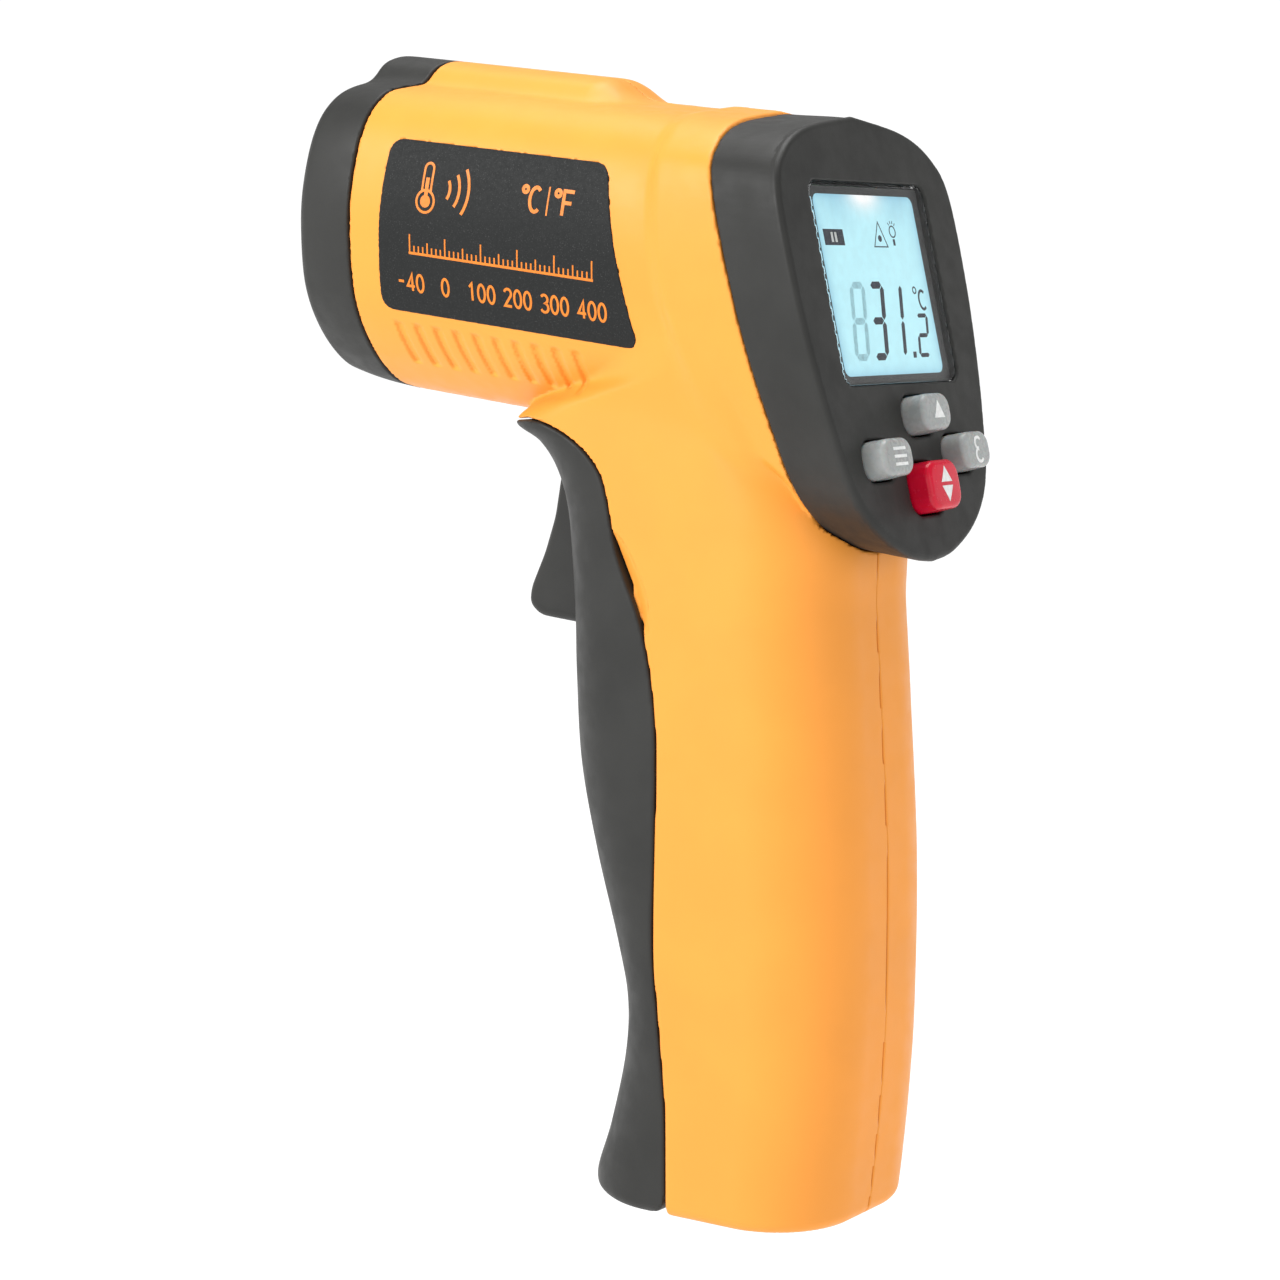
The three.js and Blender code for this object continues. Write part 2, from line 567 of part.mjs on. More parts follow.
// ---------------------------------------------------------------- trigger
function triggerParts() {
  const [x, z] = TRIGGER_PIVOT;
  const outline = polygon(TRIGGER_OUTLINE);
  const blade = solid(alongY(outline, -TRIGGER_HALF_WIDTH, TRIGGER_HALF_WIDTH, { edge: 1.2 }))
    .subtract(solid(cylinderY(TRIGGER_PIN_RADIUS + PIN_CLEARANCE, -20, 20, x, z)));
  const pin = cylinderY(TRIGGER_PIN_RADIUS, -CHEEK.outer + 1.1, CHEEK.outer - 1.1, x, z);
  const body = solid(box(-12.6, -8.7, -3, 3, 87.6, 94));
  const plunger = solid(cylinderX(1.1, -14.1, -12, 91));
  const coil = new THREE.Curve();
  const turns = 4;
  const start = -16.2;
  const end = -9.1;
  coil.getPoint = (t) => {
    const angle = t * turns * 2 * Math.PI;
    return new THREE.Vector3(start + (end - start) * t, 1.9 * Math.cos(angle), 83.6 + 1.9 * Math.sin(angle));
  };
  const wire = new THREE.Shape().absarc(0, 0, 0.32, 0, 2 * Math.PI, false);
  const spring = new THREE.ExtrudeGeometry(wire, { steps: 44, curveSegments: 3, extrudePath: coil, bevelEnabled: false });
  return [
    meshOf('trigger', blade, material(COLOURS.dark)),
    meshOf('trigger_pin', pin, material(COLOURS.steel, 0.3, 1)),
    meshOf('trigger_switch', body.add(plunger), material(COLOURS.black, 0.5)),
    meshOf('trigger_spring', solid(spring), material(COLOURS.steel, 0.3, 1)),
  ];
}

// ---------------------------------------------------------------- battery door
function batteryDoor() {
  const [x, z] = DOOR_PIVOT;
  const outer = solid(handleForm(0, 0, HANDLE_TOP, FOOT_FILLET));
  const inner = solid(handleForm(WALL, WALL, HANDLE_TOP + 5, 0));
  const head = solid(fromHead(headForm(-GAP, NOSE_FRONT, HEAD_REAR + 10, 0)));
  const window = solid(alongY(polygon([[-60, 77.3], [-10, 77.3], [-10, 98], [-23, 100.9], [-60, 100.9]]),
    -TRIGGER_HALF_WIDTH - 0.4, TRIGGER_HALF_WIDTH + 0.4));
  const tail = solid(box(x, 10, -FAR, FAR, -1, z)).subtract(solid(cylinderY(2.5, -FAR, FAR, x, z)));
  const lugSpace = solid(cylinderY(2.45, -LUG_HALF_WIDTH - 0.3, LUG_HALF_WIDTH + 0.3, x, z))
    .add(solid(box(x, 10, -LUG_HALF_WIDTH - 0.3, LUG_HALF_WIDTH + 0.3, -1, 8)));
  const knuckles = [-1, 1].map((side) => {
    const near = side * (LUG_HALF_WIDTH + 0.4);
    const far = side * 10.5;
    const range = [Math.min(near, far), Math.max(near, far)];
    return solid(cylinderY(KNUCKLE_RADIUS - 0.1, range[0], range[1], x, z))
      .add(solid(box(x - 5, x, range[0], range[1], 1, z + 1.6)));
  });
  const bore = solid(cylinderY(DOOR_PIN_RADIUS + PIN_CLEARANCE, -9.9, 9.9, x, z));
  return outer.subtract(inner).intersect(solid(doorRegion(0, 40))).subtract(head).subtract(window)
    .subtract(tail).add(unite(knuckles)).subtract(lugSpace).subtract(bore);
}

function handleParts() {
  const [x, z] = DOOR_PIVOT;
  const steel = material(COLOURS.steel, 0.3, 1);
  const back = BATTERY.back;
  const front = back - BATTERY.depth;
  const top = BATTERY.bottom + BATTERY.height;
  const half = BATTERY.halfWidth;
  const middle = (front + back) / 2;
  const cell = solid(extrusion(roundedRectangle(BATTERY.depth, 2 * half, 1.6, middle, 0), BATTERY.bottom, top));
  const terminals = [-1, 1].map((side) => solid(new THREE.CylinderGeometry(TERMINAL_RADIUS, TERMINAL_RADIUS, 3, ROUND)
    .rotateX(Math.PI / 2).translate(middle, side * TERMINAL_OFFSET, top + 0.8)));
  const snapHoles = [-1, 1].map((side) => solid(new THREE.CylinderGeometry(3.1, 3.1, 3, ROUND)
    .rotateX(Math.PI / 2).translate(middle, side * TERMINAL_OFFSET, top + 1.1)));
  const snap = solid(extrusion(roundedRectangle(15, 25, 5, middle, 0), top + 0.3, top + 4)).subtract(unite(snapHoles));
  const tray = solid(box(12, 13.2, -11.6, 11.6, 3.2, 58.5)).add(solid(box(1.3, 13, -11.6, 11.6, 3.2, 4.7)))
    .add(solid(box(-3, 13, -11.6, 11.6, 57.3, 58.5)))
    .subtract(solid(box(-4, 8, -4.5, 4.5, 56, 60)));
  const leads = [-1, 1].map((side) => {
    const path = new THREE.CatmullRomCurve3([
      new THREE.Vector3(middle, side * 2.2, top + 4.3), new THREE.Vector3(middle + 0.6, side * 2.4, 66),
      new THREE.Vector3(3.2, 3 + side * 1.6, 82), new THREE.Vector3(-1 + side, 4 + side, 100),
      new THREE.Vector3(-4 + side * 1.3, 7.8, 111), new THREE.Vector3(-7 + side * 1.6, 9.2, 118),
    ]);
    const shape = new THREE.Shape().absarc(0, 0, 0.6, 0, 2 * Math.PI, false);
    const wire = new THREE.ExtrudeGeometry(shape, { steps: 16, curveSegments: 3, extrudePath: path, bevelEnabled: false });
    return meshOf(side < 0 ? 'battery_lead_plus' : 'battery_lead_minus', solid(wire),
      material(side < 0 ? COLOURS.lead : COLOURS.black, 0.5));
  });
  return [
    meshOf('battery_door', batteryDoor(), material(COLOURS.dark)),
    meshOf('door_pin', cylinderY(DOOR_PIN_RADIUS, -9.6, 9.6, x, z), steel),
    meshOf('battery_tray', tray, material(COLOURS.black, 0.6)),
    meshOf('battery_9v', cell.add(unite(terminals)), material(COLOURS.battery, 0.4, 0.6)),
    meshOf('battery_snap', snap, material(COLOURS.black, 0.6)),
    ...leads,
  ];
}

// ---------------------------------------------------------------- assembly
const orange = material(COLOURS.orange, 0.5);
const [leftShell, rightShell] = shellHalves();

const headGroup = new THREE.Group();
headGroup.rotation.y = THREE.MathUtils.degToRad(HEAD_PITCH);
headGroup.add(noseCap(), ...optics(), ...headParts(), sideLabel('label_left', -1), sideLabel('label_right', 1));
headGroup.add(screw(0), screw(1));

const displayGroup = new THREE.Group();
displayGroup.position.set(...DISPLAY_ORIGIN);
displayGroup.rotation.y = THREE.MathUtils.degToRad(-DISPLAY_TILT);
displayGroup.add(...displayParts());

const thermometer = new THREE.Group();
thermometer.add(meshOf('left_shell', leftShell, orange), meshOf('right_shell', rightShell, orange));
thermometer.add(headGroup, displayGroup, ...triggerParts(), ...handleParts(), screw(2), screw(3));

export default thermometer;
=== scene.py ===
"""Infrared thermometer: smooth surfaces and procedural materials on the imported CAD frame.

Lengths in the tables and shape functions are millimetres in the row frame: +Z up from the foot of
the handle, +X towards the user, -Y the user's left. Meshes are turned into metres when they are made.
hx and hz are measured along and across the axis of the head. depth and up are measured out of the
display and along it.
"""

import json
import math
from functools import reduce

import bpy
import numpy as np
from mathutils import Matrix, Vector


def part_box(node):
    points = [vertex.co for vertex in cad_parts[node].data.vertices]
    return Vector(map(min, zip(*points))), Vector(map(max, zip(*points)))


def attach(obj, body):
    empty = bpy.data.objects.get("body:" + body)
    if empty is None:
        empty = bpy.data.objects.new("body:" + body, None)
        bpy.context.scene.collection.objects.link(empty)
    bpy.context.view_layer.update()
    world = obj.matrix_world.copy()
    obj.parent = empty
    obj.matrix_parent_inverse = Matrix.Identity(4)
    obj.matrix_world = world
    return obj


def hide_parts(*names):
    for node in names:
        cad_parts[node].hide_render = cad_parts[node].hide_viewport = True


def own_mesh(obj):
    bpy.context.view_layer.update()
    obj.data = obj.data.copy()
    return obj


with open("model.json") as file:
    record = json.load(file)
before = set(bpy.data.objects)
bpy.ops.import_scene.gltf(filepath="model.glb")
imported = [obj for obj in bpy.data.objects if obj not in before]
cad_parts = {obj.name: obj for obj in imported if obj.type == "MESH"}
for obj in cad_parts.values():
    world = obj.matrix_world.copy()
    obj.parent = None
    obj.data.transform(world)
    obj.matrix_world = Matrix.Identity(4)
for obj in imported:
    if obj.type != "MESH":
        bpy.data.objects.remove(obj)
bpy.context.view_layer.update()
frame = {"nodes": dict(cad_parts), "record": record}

# ---- driving dimensions
MM = 0.001
FAR = 99
EDGE = 0.3
FINE_EDGE = 0.1
BORE_EDGE = 0.2

# camera, floor and lights: metres, watts
CAMERA_AZIMUTH = math.radians(35)
CAMERA_ELEVATION = math.radians(6.8)
CAMERA_DISTANCE = 0.4167
CAMERA_TARGET = (-0.018, 0.0, 0.0756)
CAMERA_LENS = 84.375
CAMERA_SENSOR = 36
CAMERA_NEAR = 0.01
FLOOR_HEIGHT = -0.016
FLOOR_HALF = 14.0
LIGHT_AIM = (-0.01, 0, 0.08)
# name, place, disk size, power
LIGHTS = (
    ("key_light", (-0.30, -0.62, 0.42), 0.45, 4.7),
    ("fill_light", (0.70, -0.25, 0.35), 0.5, 0.6),
    ("top_light", (-0.05, 0.1, 0.8), 0.6, 4.6),
)
# studio walls by the height of the view direction: its two ends, and the strength at each
WORLD_RAMP = {"From Min": 0.13, "From Max": 0.34, "To Min": 1.06, "To Max": 0.36}

# head, hump and nose
HEAD_PITCH = math.radians(7)
HEAD_CENTRE = 125.0
HEAD_END = -4
HEAD_FILLET = 1.6
SOFT_EDGE = 1.8
WALL = 2.2
HEAD_ROOM = (-90, -3)
REAR_ROOM = (-14, 5)
HUMP_SPAN = (-77.4, -29)
HUMP_SINK = 4.6
HUMP_SLOPE = (-40, -30)
NOSE_FRONT = -80.4
NOSE_LEAN = 0.035
NOSE_LEAN_HEIGHT = 112
NOSE_SEAM = -69.0
NOSE_SEAM_STEP = 2.2
NOSE_SEAM_RISE = (143.8, 145.4)
NOSE_EDGE = 2.4
NOSE_TAPER = 0.06
NOSE_GAP = 0.35
NOSE_WALL = 2.4
NOSE_DEPTH = 3.2
NOSE_RIM = 3.2
NOSE_RIM_HEIGHT = 1.2
LENS_HEIGHT = 123.5
LENS_FRONT = -76.2
LENS_CURVE = 0.0115
WELL_RADIUS = 10.2
WELL_DEPTH = 5
WELL_SLOPE = 0.5
LASER_HEIGHT = 139.0
LASER_BORE = 2.2
LASER_DEPTH = 7
LASER_SEAT = (1.9, 3.3)
LASER_SEAT_RADIUS = 2.9

# bezel, display and keys
DISPLAY_TILT = math.radians(13.1)
DISPLAY_ORIGIN = (17.0, 136.1)
AXIS_LEAN = math.tan(HEAD_PITCH + DISPLAY_TILT)
BEZEL_BACK = -9.0
BEZEL_FACE = 1.2
BEZEL_EDGE = 0.8
BEZEL_WALL = 2.1
BEZEL_GAP = 0.15
BEZEL_LOW = -36
CHIN = (18, 40)
FACE_TAPER = 0.03
CHIN_TAPER = 0.07
TAPER_RUN = 10
FACE_GROWTH = 0.35
WINDOW_HALF = (14.6, 13.3)
WINDOW_CENTRE = -11.8
WINDOW_CORNER = 2.0
LIT_HALF = (12.5, 11.85)
LIT_CORNER = 1.2
LIT_STEPS = (100, 94)
LIT_PALE = np.array((0.50, 0.88, 0.97))
LIT_DUSK = np.array((0.26, 0.56, 0.72))
LCD_FACE = -0.2
KEY_FACE = 4.4
KEY_FOOT = -2.1
KEY_CROWN = 0.012
KEY_DRAFT = 0.03
KEY_GAP = 0.25
# middle across, distance down, width, height, corner
KEYS = {
    "key_up": (1.8, 29.4, 7.2, 5.0, 2.0),
    "key_left": (-10.0, 34.8, 7.3, 5.0, 2.0),
    "key_right": (10.3, 34.8, 7.3, 5.0, 2.0),
    "key_red": (0.4, 38.9, 8.0, 6.6, 2.2),
}

# handle, trigger and battery door
HANDLE_HALF_WIDTH = 16.5
HANDLE_CORNER = 12.0
HANDLE_TOP = 118
FOOT_FILLET = 1.8
GRIP_FILLET = 3.0
GRIP_FILLET_GAIN = 2.0
GRIP_FILLET_SPAN = (-36, -14)
SEAM_SHARE = 0.08
SEAM_SPAN = (9, 16)
TIP_FOOT = 96
TIP_BACK = -12
TRIGGER_PIVOT = (-20.5, 99.0)
TRIGGER_HALF_WIDTH = 6.2
TRIGGER_BORE = 1.3
TRIGGER_SLOT = (77.3, 100.9)
TRIGGER_GAP = 0.4
EAR_SPAN = (7.0, 9.2)
SPRING_ENDS = (-16.2, -9.1)
SPRING_HEIGHT = 83.6
SPRING_RADIUS = 1.9
SPRING_WIRE = 0.32
SPRING_TURNS = 4
SPRING_STOP = (-8.4, -6.8)
SPRING_STOP_HEIGHT = (80.5, 94.5)
DOOR_PIVOT = (-5.2, 2.7)
DOOR_BORE = 1.0
DOOR_GAP = 0.18
EYE_RADIUS = 2.0
EYE_HALF = 4.5
EYE_ROOM = 2.45
KNUCKLE_RADIUS = 2.2
KNUCKLE_SPAN = (4.9, 10.5)
NOTCH_DEPTH = 1.4
NOTCH_SLOPE = 0.55
BATTERY_MIDDLE = 2.75
BATTERY_HALF = (8.75, 13.25)
BATTERY_SPAN = (5.4, 51.8)
TERMINAL_RADIUS = 2.8
TERMINAL_OFFSET = 6.35
TERMINAL_TOP = 54.1
LEAD_RADIUS = 0.6
# node, radius, half length, place
PINS = (("trigger_pin", 1.2, 8.1, TRIGGER_PIVOT), ("door_pin", 0.9, 9.6, DOOR_PIVOT))

# side plates, grip ribs and screws
LABEL_DEPTH = 0.35
LABEL_RISE = 0.14
LABEL_MIDDLE = -42.6
RIB_COUNT = 10
RIB_FIRST = -61.9
RIB_PITCH = 3.4
RIB_TOP = 112.7
RIB_BOTTOM = 107.3
RIB_LEAN = 0.5
RIB_DEPTH = 0.42
RIB_RISE = (-0.85, -0.35)
RIB_FADE = (-0.35, 1.3)
# along, height, whether both are in the frame of the head, radius
BOSSES = (
    (-14.5, 139.0, True, 2.8), (-64.8, 109.5, True, 2.6), (14.5, 72.0, False, 2.8), (16.2, 8.6, False, 2.2),
)
BOSS_BORE = 1.4
HEAD_BORE = 2.2
SCREW_HEAD = (9.6, 11.1)
SCREW_SHAFT = (-2.5, 10)
SCREW_RADII = (1.9, 1.1)
SCREW_CROSS = (1.2, 0.25)
SCREW_CROSS_FOOT = 10.4

GLOSS_LOW = 0.3
GLOSS_HIGH = 0.7
# kinds of material: metallic, specular, clouds (size, detail, low, high),
# gloss (size, detail, below, above), grain (size, detail)
KINDS = {
    "plastic": (0.0, 0.25, (14, 4, 0.35, 0.65), (3, 5, 0.06, 0.06), (0.35, 2)),
    "rubber": (0.0, 0.35, (3.5, 3, 0.35, 0.65), (0.7, 3, 0.04, 0.06), (0.9, 2)),
    "metal": (1.0, 0.5, (2.5, 4, 0.35, 0.65), (0.35, 5, 0.08, 0.12), (0.35, 5)),
    "ink": (0.0, 0.5, (0.8, 4, 0.35, 0.7), (0.5, 3, 0.07, 0.07), (0.15, 2)),
}
# kind, colour, roughness, share of the colour in its clouds, depth of the grain
PAINTS = {
    "orange_shell": ("plastic", (0.95, 0.355, 0.053), 0.42, 0.96, 0.006),
    "dark_case": ("plastic", (0.031, 0.031, 0.029), 0.5, 0.8, 0.008),
    "white_plastic": ("plastic", (0.8, 0.8, 0.78), 0.45, 0.88, 0.012),
    "black_plastic": ("plastic", (0.02, 0.02, 0.02), 0.4, 0.7, 0.012),
    "red_wire": ("plastic", (0.5, 0.012, 0.01), 0.4, 0.88, 0.012),
    "black_wire": ("plastic", (0.02, 0.02, 0.02), 0.4, 0.88, 0.012),
    "grey_rubber": ("rubber", (0.3, 0.31, 0.31), 0.6, 0.93, 0.002),
    "grey_key": ("rubber", (0.37, 0.385, 0.38), 0.26, 0.93, 0.002),
    "red_key": ("rubber", (0.66, 0.003, 0.03), 0.22, 0.93, 0.002),
    "steel": ("metal", (0.6, 0.6, 0.6), 0.3, 0.82, 0.006),
    "brass": ("metal", (0.65, 0.45, 0.18), 0.3, 0.82, 0.006),
    "lcd_border": ("ink", (0.016, 0.016, 0.015), 0.4, 0.86, 0.003),
    "label_ink": ("ink", (0.79, 0.212, 0.006), 0.5, 0.86, 0.003),
    "lcd_ink": ("ink", (0.004, 0.008, 0.03), 0.5, 0.86, 0.003),
    "white_ink": ("ink", (0.85, 0.86, 0.85), 0.5, 0.86, 0.003),
    "lcd_ghost": ("ink", (0.475, 0.845, 0.94), 0.5, 0.86, 0.003),
}

# printed marks
SCALE_LEFT = -15.4
SCALE_PITCH = 0.77
SCALE_LINE = (122.6, 122.95)
SCALE_NUMBERS = ("-40", "0", "100", "200", "300", "400")
NUMBER_HEIGHT = 2.3
UNIT_HEIGHT = 3.2
LAMP = (5.9, -4.75)
LCD_FOOT = -21.3
DIGIT_LEAN = 0.2
# lit segments, place, width, height, pen
LCD_DIGITS = (
    ("abgcd", -4.3, 2.9, 9.4, 0.95), ("bc", 0.4, 2.9, 9.4, 0.8), ("abged", 7.2, 2.4, 5.3, 0.55),
)
GHOST_DIGIT = ("abcdefg", -9.0, 2.9, 9.4, 0.9)

HEAD_SECTION = (
    (0, 102), (6.5, 103.6), (12.6, 108.3), (17.1, 114.8), (19.4, 123),
    (20, 130), (18.8, 137.5), (15.8, 142.3), (10.5, 144.9), (0, 146.3),
)
HUMP_SECTION = ((0, 141), (8.4, 142), (8, 145.2), (6.2, 147.6), (3.2, 148.7), (0, 148.9))
FACE_SECTION = (
    (0, -48.4), (5, -47.6), (11, -45), (15.4, -41.4), (17.9, -37.2), (19.2, -32), (20.6, -24),
    (21.8, -12), (21.5, 0), (18.5, 5), (12, 8.2), (0, 10),
)
HANDLE_FRONT = (
    (0, -18.4), (3, -19.3), (10, -17), (20, -14.6), (28, -14.2), (36, -15.9), (48, -19.3), (60, -21.9),
    (72, -22.7), (80, -22.9), (88, -23.4), (95, -24.2), (100, -26.0), (103.5, -28.8), (106, -32.8),
    (108.5, -29.5), (110.5, -22.5), (113, -14.5), (118, -8),
)
HANDLE_REAR = (
    (0, 19.5), (6, 20.3), (16, 21.3), (28, 22), (48, 22.1), (69, 20.9), (82, 20), (96, 19), (118, 8),
)
DOOR_EDGE = (
    (-26.2, 106.6), (-22.8, 106.2), (-19, 104.7), (-15.7, 102.5), (-13.2, 99.6), (-12.1, 96.3),
    (-11.4, 93), (-10.6, 89.6), (-9.2, 86), (-7.4, 82), (-6, 77.6), (-4.9, 72), (-4.2, 64),
    (-4.4, 50), (-4.7, 36.5), (-3.9, 27), (-2.8, 16), (-2.6, 5), (-2.6, -2),
)
DOOR_FAR_CORNERS = ((-60, -2), (-60, 104), (-40, 104.6), (-35, 105.9))
NOTCH = (
    (-18, 94.6), (-12, 92.6), (-9.7, 91.4), (-8.1, 89.1), (-6.4, 86), (-5.5, 83.4), (-5.1, 81.4),
    (-5.3, 79), (-7.5, 78.4), (-18, 77.6),
)
TRIGGER_OUTLINE = (
    (-27.4, 99.8), (-28.7, 92.8), (-30.5, 87.7), (-32.9, 82.7), (-33.2, 80.3), (-31.4, 78.7), (-24.2, 78),
    (-18, 78.2), (-16.6, 82), (-16.6, 90), (-17.4, 97), (-17.5, 100.2), (-19.4, 102), (-22, 101.9),
    (-25, 100.4),
)
LABEL_CORNERS = ((-63.2, 137.9), (-26.8, 138), (-20.2, 114.5), (-63.9, 114.5))
FLARE_FRONT = (
    (-40, -10), (-34.6, -11), (-29, -15.8), (-22.9, -19.2), (-15.2, -20.5), (-4.8, -20.6), (11.2, -17.5),
)


# ---- camera
def add_object(name, data):
    item = bpy.data.objects.new(name, data)
    bpy.context.scene.collection.objects.link(item)
    return item


def make_camera():
    level = math.cos(CAMERA_ELEVATION)
    away = Vector((
        math.sin(CAMERA_AZIMUTH) * level, -math.cos(CAMERA_AZIMUTH) * level, math.sin(CAMERA_ELEVATION),
    ))
    data = bpy.data.cameras.new("camera")
    data.sensor_width = CAMERA_SENSOR
    data.lens = CAMERA_LENS
    data.clip_start = CAMERA_NEAR
    camera = add_object("camera", data)
    camera.location = Vector(CAMERA_TARGET) + away * CAMERA_DISTANCE
    camera.rotation_euler = away.to_track_quat("Z", "Y").to_euler()
    bpy.context.scene.camera = camera


make_camera()


# ---- curves and distance fields
def smooth_line(points, samples):
    """Catmull-Rom curve through the points."""
    knots = np.array([points[0], *points, points[-1]], float)
    t = np.linspace(0, len(points) - 1, samples)
    i = np.minimum(t.astype(int), len(points) - 2)
    f = (t - i)[:, None]
    a, b, c, d = knots[i], knots[i + 1], knots[i + 2], knots[i + 3]
    return b + 0.5 * f * (c - a + f * (2 * a - 5 * b + 4 * c - d + f * (3 * (b - c) + d - a)))


def mirrored(half, samples=90):
    side = smooth_line(half, samples)
    return np.vstack([side, side[-2:0:-1] * (-1, 1)])


def table_curve(table, station):
    line = smooth_line(table, 240)
    return np.interp(station, line[:, 0], line[:, 1])


class Outline:
    """Signed distance to a closed outline, kept on a fine grid and read back smoothly."""

    def __init__(self, points, margin=9.0, pitch=0.25):
        points = np.asarray(points, float)
        self.pitch = pitch
        self.low = points.min(axis=0) - margin
        size = np.ceil((points.max(axis=0) + margin - self.low) / pitch).astype(int) + 1
        x = self.low[0] + pitch * np.arange(size[0])[:, None]
        y = self.low[1] + pitch * np.arange(size[1])[None, :]
        nearest = np.full(tuple(size), np.inf)
        inside = np.zeros(tuple(size), bool)
        for a, b in zip(points, np.roll(points, -1, axis=0)):
            edge = b - a
            length = max(edge @ edge, 1e-12)
            t = np.clip(((x - a[0]) * edge[0] + (y - a[1]) * edge[1]) / length, 0, 1)
            nearest = np.minimum(nearest, (x - a[0] - t * edge[0]) ** 2 + (y - a[1] - t * edge[1]) ** 2)
            if a[1] != b[1]:
                crosses = (a[1] > y) != (b[1] > y)
                inside ^= crosses & (x < a[0] + (y - a[1]) * edge[0] / edge[1])
        self.grid = (np.sqrt(nearest) * np.where(inside, -1, 1)).astype(np.float32)

    def __call__(self, x, y):
        u = (x - self.low[0]) / self.pitch
        v = (y - self.low[1]) / self.pitch
        uc = np.clip(u, 0, self.grid.shape[0] - 1.001)
        vc = np.clip(v, 0, self.grid.shape[1] - 1.001)
        outside = np.hypot(u - uc, v - vc) * self.pitch
        i, j = uc.astype(np.int32), vc.astype(np.int32)
        fu, fv = uc - i, vc - j
        near = self.grid[i, j] * (1 - fv) + self.grid[i, j + 1] * fv
        far = self.grid[i + 1, j] * (1 - fv) + self.grid[i + 1, j + 1] * fv
        return near * (1 - fu) + far * fu + outside


def smoothstep(value, low, high):
    t = np.clip((value - low) / (high - low), 0, 1)
    return t * t * (3 - 2 * t)


def melt(a, b, reach):
    """Union with a fillet."""
    h = np.maximum(reach - np.abs(a - b), 0) / reach
    return np.minimum(a, b) - h * h * reach / 4


def cut(a, b, radius=EDGE):
    """Intersection with a rounded edge."""
    over = np.hypot(np.maximum(a + radius, 0), np.maximum(b + radius, 0))
    return np.minimum(np.maximum(a, b), -radius) + over


def carve(field, tool, radius=EDGE):
    """Takes the tool away and rounds the edge that it leaves."""
    return cut(field, -tool, radius)


def both(*fields):
    """All of the shapes together."""
    return reduce(np.minimum, fields)


def meet(*fields):
    """Only what the shapes share."""
    return reduce(np.maximum, fields)


def slab(value, low, high):
    return np.maximum(low - value, value - high)


def rounded_box(x, y, half_x, half_y, radius):
    dx = np.abs(x) - half_x + radius
    dy = np.abs(y) - half_y + radius
    return np.hypot(np.maximum(dx, 0), np.maximum(dy, 0)) + np.minimum(np.maximum(dx, dy), 0) - radius


def turned(x, z, angle):
    c, s = math.cos(angle), math.sin(angle)
    return x * c - z * s, x * s + z * c


def to_head(x, z):
    return turned(x, z, HEAD_PITCH)


def from_head(x, z):
    return turned(x, z, -HEAD_PITCH)


def to_display(x, z):
    return turned(x - DISPLAY_ORIGIN[0], z - DISPLAY_ORIGIN[1], -DISPLAY_TILT)


def from_display(depth, up):
    x, z = turned(depth, up, DISPLAY_TILT)
    return x + DISPLAY_ORIGIN[0], z + DISPLAY_ORIGIN[1]


def rounded_polygon(corners, reach, steps=8):
    """Polygon whose corners are replaced by short curves."""
    corners = np.asarray(corners, float)
    points = []
    for i, corner in enumerate(corners):
        before = corners[i - 1] - corner
        after = corners[(i + 1) % len(corners)] - corner
        start = corner + before / np.linalg.norm(before) * reach
        end = corner + after / np.linalg.norm(after) * reach
        for t in np.linspace(0, 1, steps):
            points.append((1 - t) ** 2 * start + 2 * t * (1 - t) * corner + t * t * end)
    return np.array(points)


HEAD = Outline(mirrored(HEAD_SECTION))
HUMP = Outline(mirrored(HUMP_SECTION, 40))
FACE = Outline(mirrored(FACE_SECTION))
DOOR = Outline(np.vstack([smooth_line(DOOR_EDGE, 160), DOOR_FAR_CORNERS]))
NOTCH_AREA = Outline(rounded_polygon(NOTCH, 0.8))
TRIGGER = Outline(rounded_polygon(TRIGGER_OUTLINE, 1.1))
LABEL = Outline(rounded_polygon(LABEL_CORNERS, 2.2))


# ---- shared outer forms
def barrel(hx, y, hz):
    """Head cross-section, narrowing a little towards the nose."""
    ahead = np.maximum(0, NOSE_SEAM - hx) / (NOSE_SEAM - NOSE_FRONT)
    scale = 1 - NOSE_TAPER * ahead * ahead
    return HEAD(y / scale, HEAD_CENTRE + (hz - HEAD_CENTRE) / scale)


def hump(hx, y, hz):
    side = HUMP(y, hz + HUMP_SINK * smoothstep(hx, *HUMP_SLOPE))
    return cut(side, slab(hx, *HUMP_SPAN), SOFT_EDGE)


def rear_section(depth, y, up):
    """Bezel outline, leaning with the head's axis and tapering forwards, most of all at its chin."""
    flat_up = up + AXIS_LEAN * np.minimum(0, depth)
    low = smoothstep(-flat_up, *CHIN)
    scale = 1 + (FACE_TAPER + CHIN_TAPER * low) * np.minimum(0, depth - BEZEL_FACE) / TAPER_RUN
    return FACE(y / scale, flat_up) - FACE_GROWTH * (1 - low) * smoothstep(depth, BEZEL_BACK, 0)


def grip(x, y, z):
    front = table_curve(HANDLE_FRONT, z)
    rear = table_curve(HANDLE_REAR, z)
    side = rounded_box(x - (front + rear) / 2, y, (rear - front) / 2, HANDLE_HALF_WIDTH, HANDLE_CORNER)
    return cut(cut(side, -z, FOOT_FILLET), z - HANDLE_TOP, 1.0)


def grip_fillet(x, depth):
    """Radius between grip and head: larger towards the user, and almost none at the bezel."""
    radius = GRIP_FILLET + GRIP_FILLET_GAIN * smoothstep(x, *GRIP_FILLET_SPAN)
    return radius * (SEAM_SHARE + (1 - SEAM_SHARE) * smoothstep(-depth, *SEAM_SPAN))


def nose_front(hz):
    """Front plane of the nose, leaning back towards its top."""
    return NOSE_FRONT + NOSE_LEAN * (hz - NOSE_LEAN_HEIGHT)


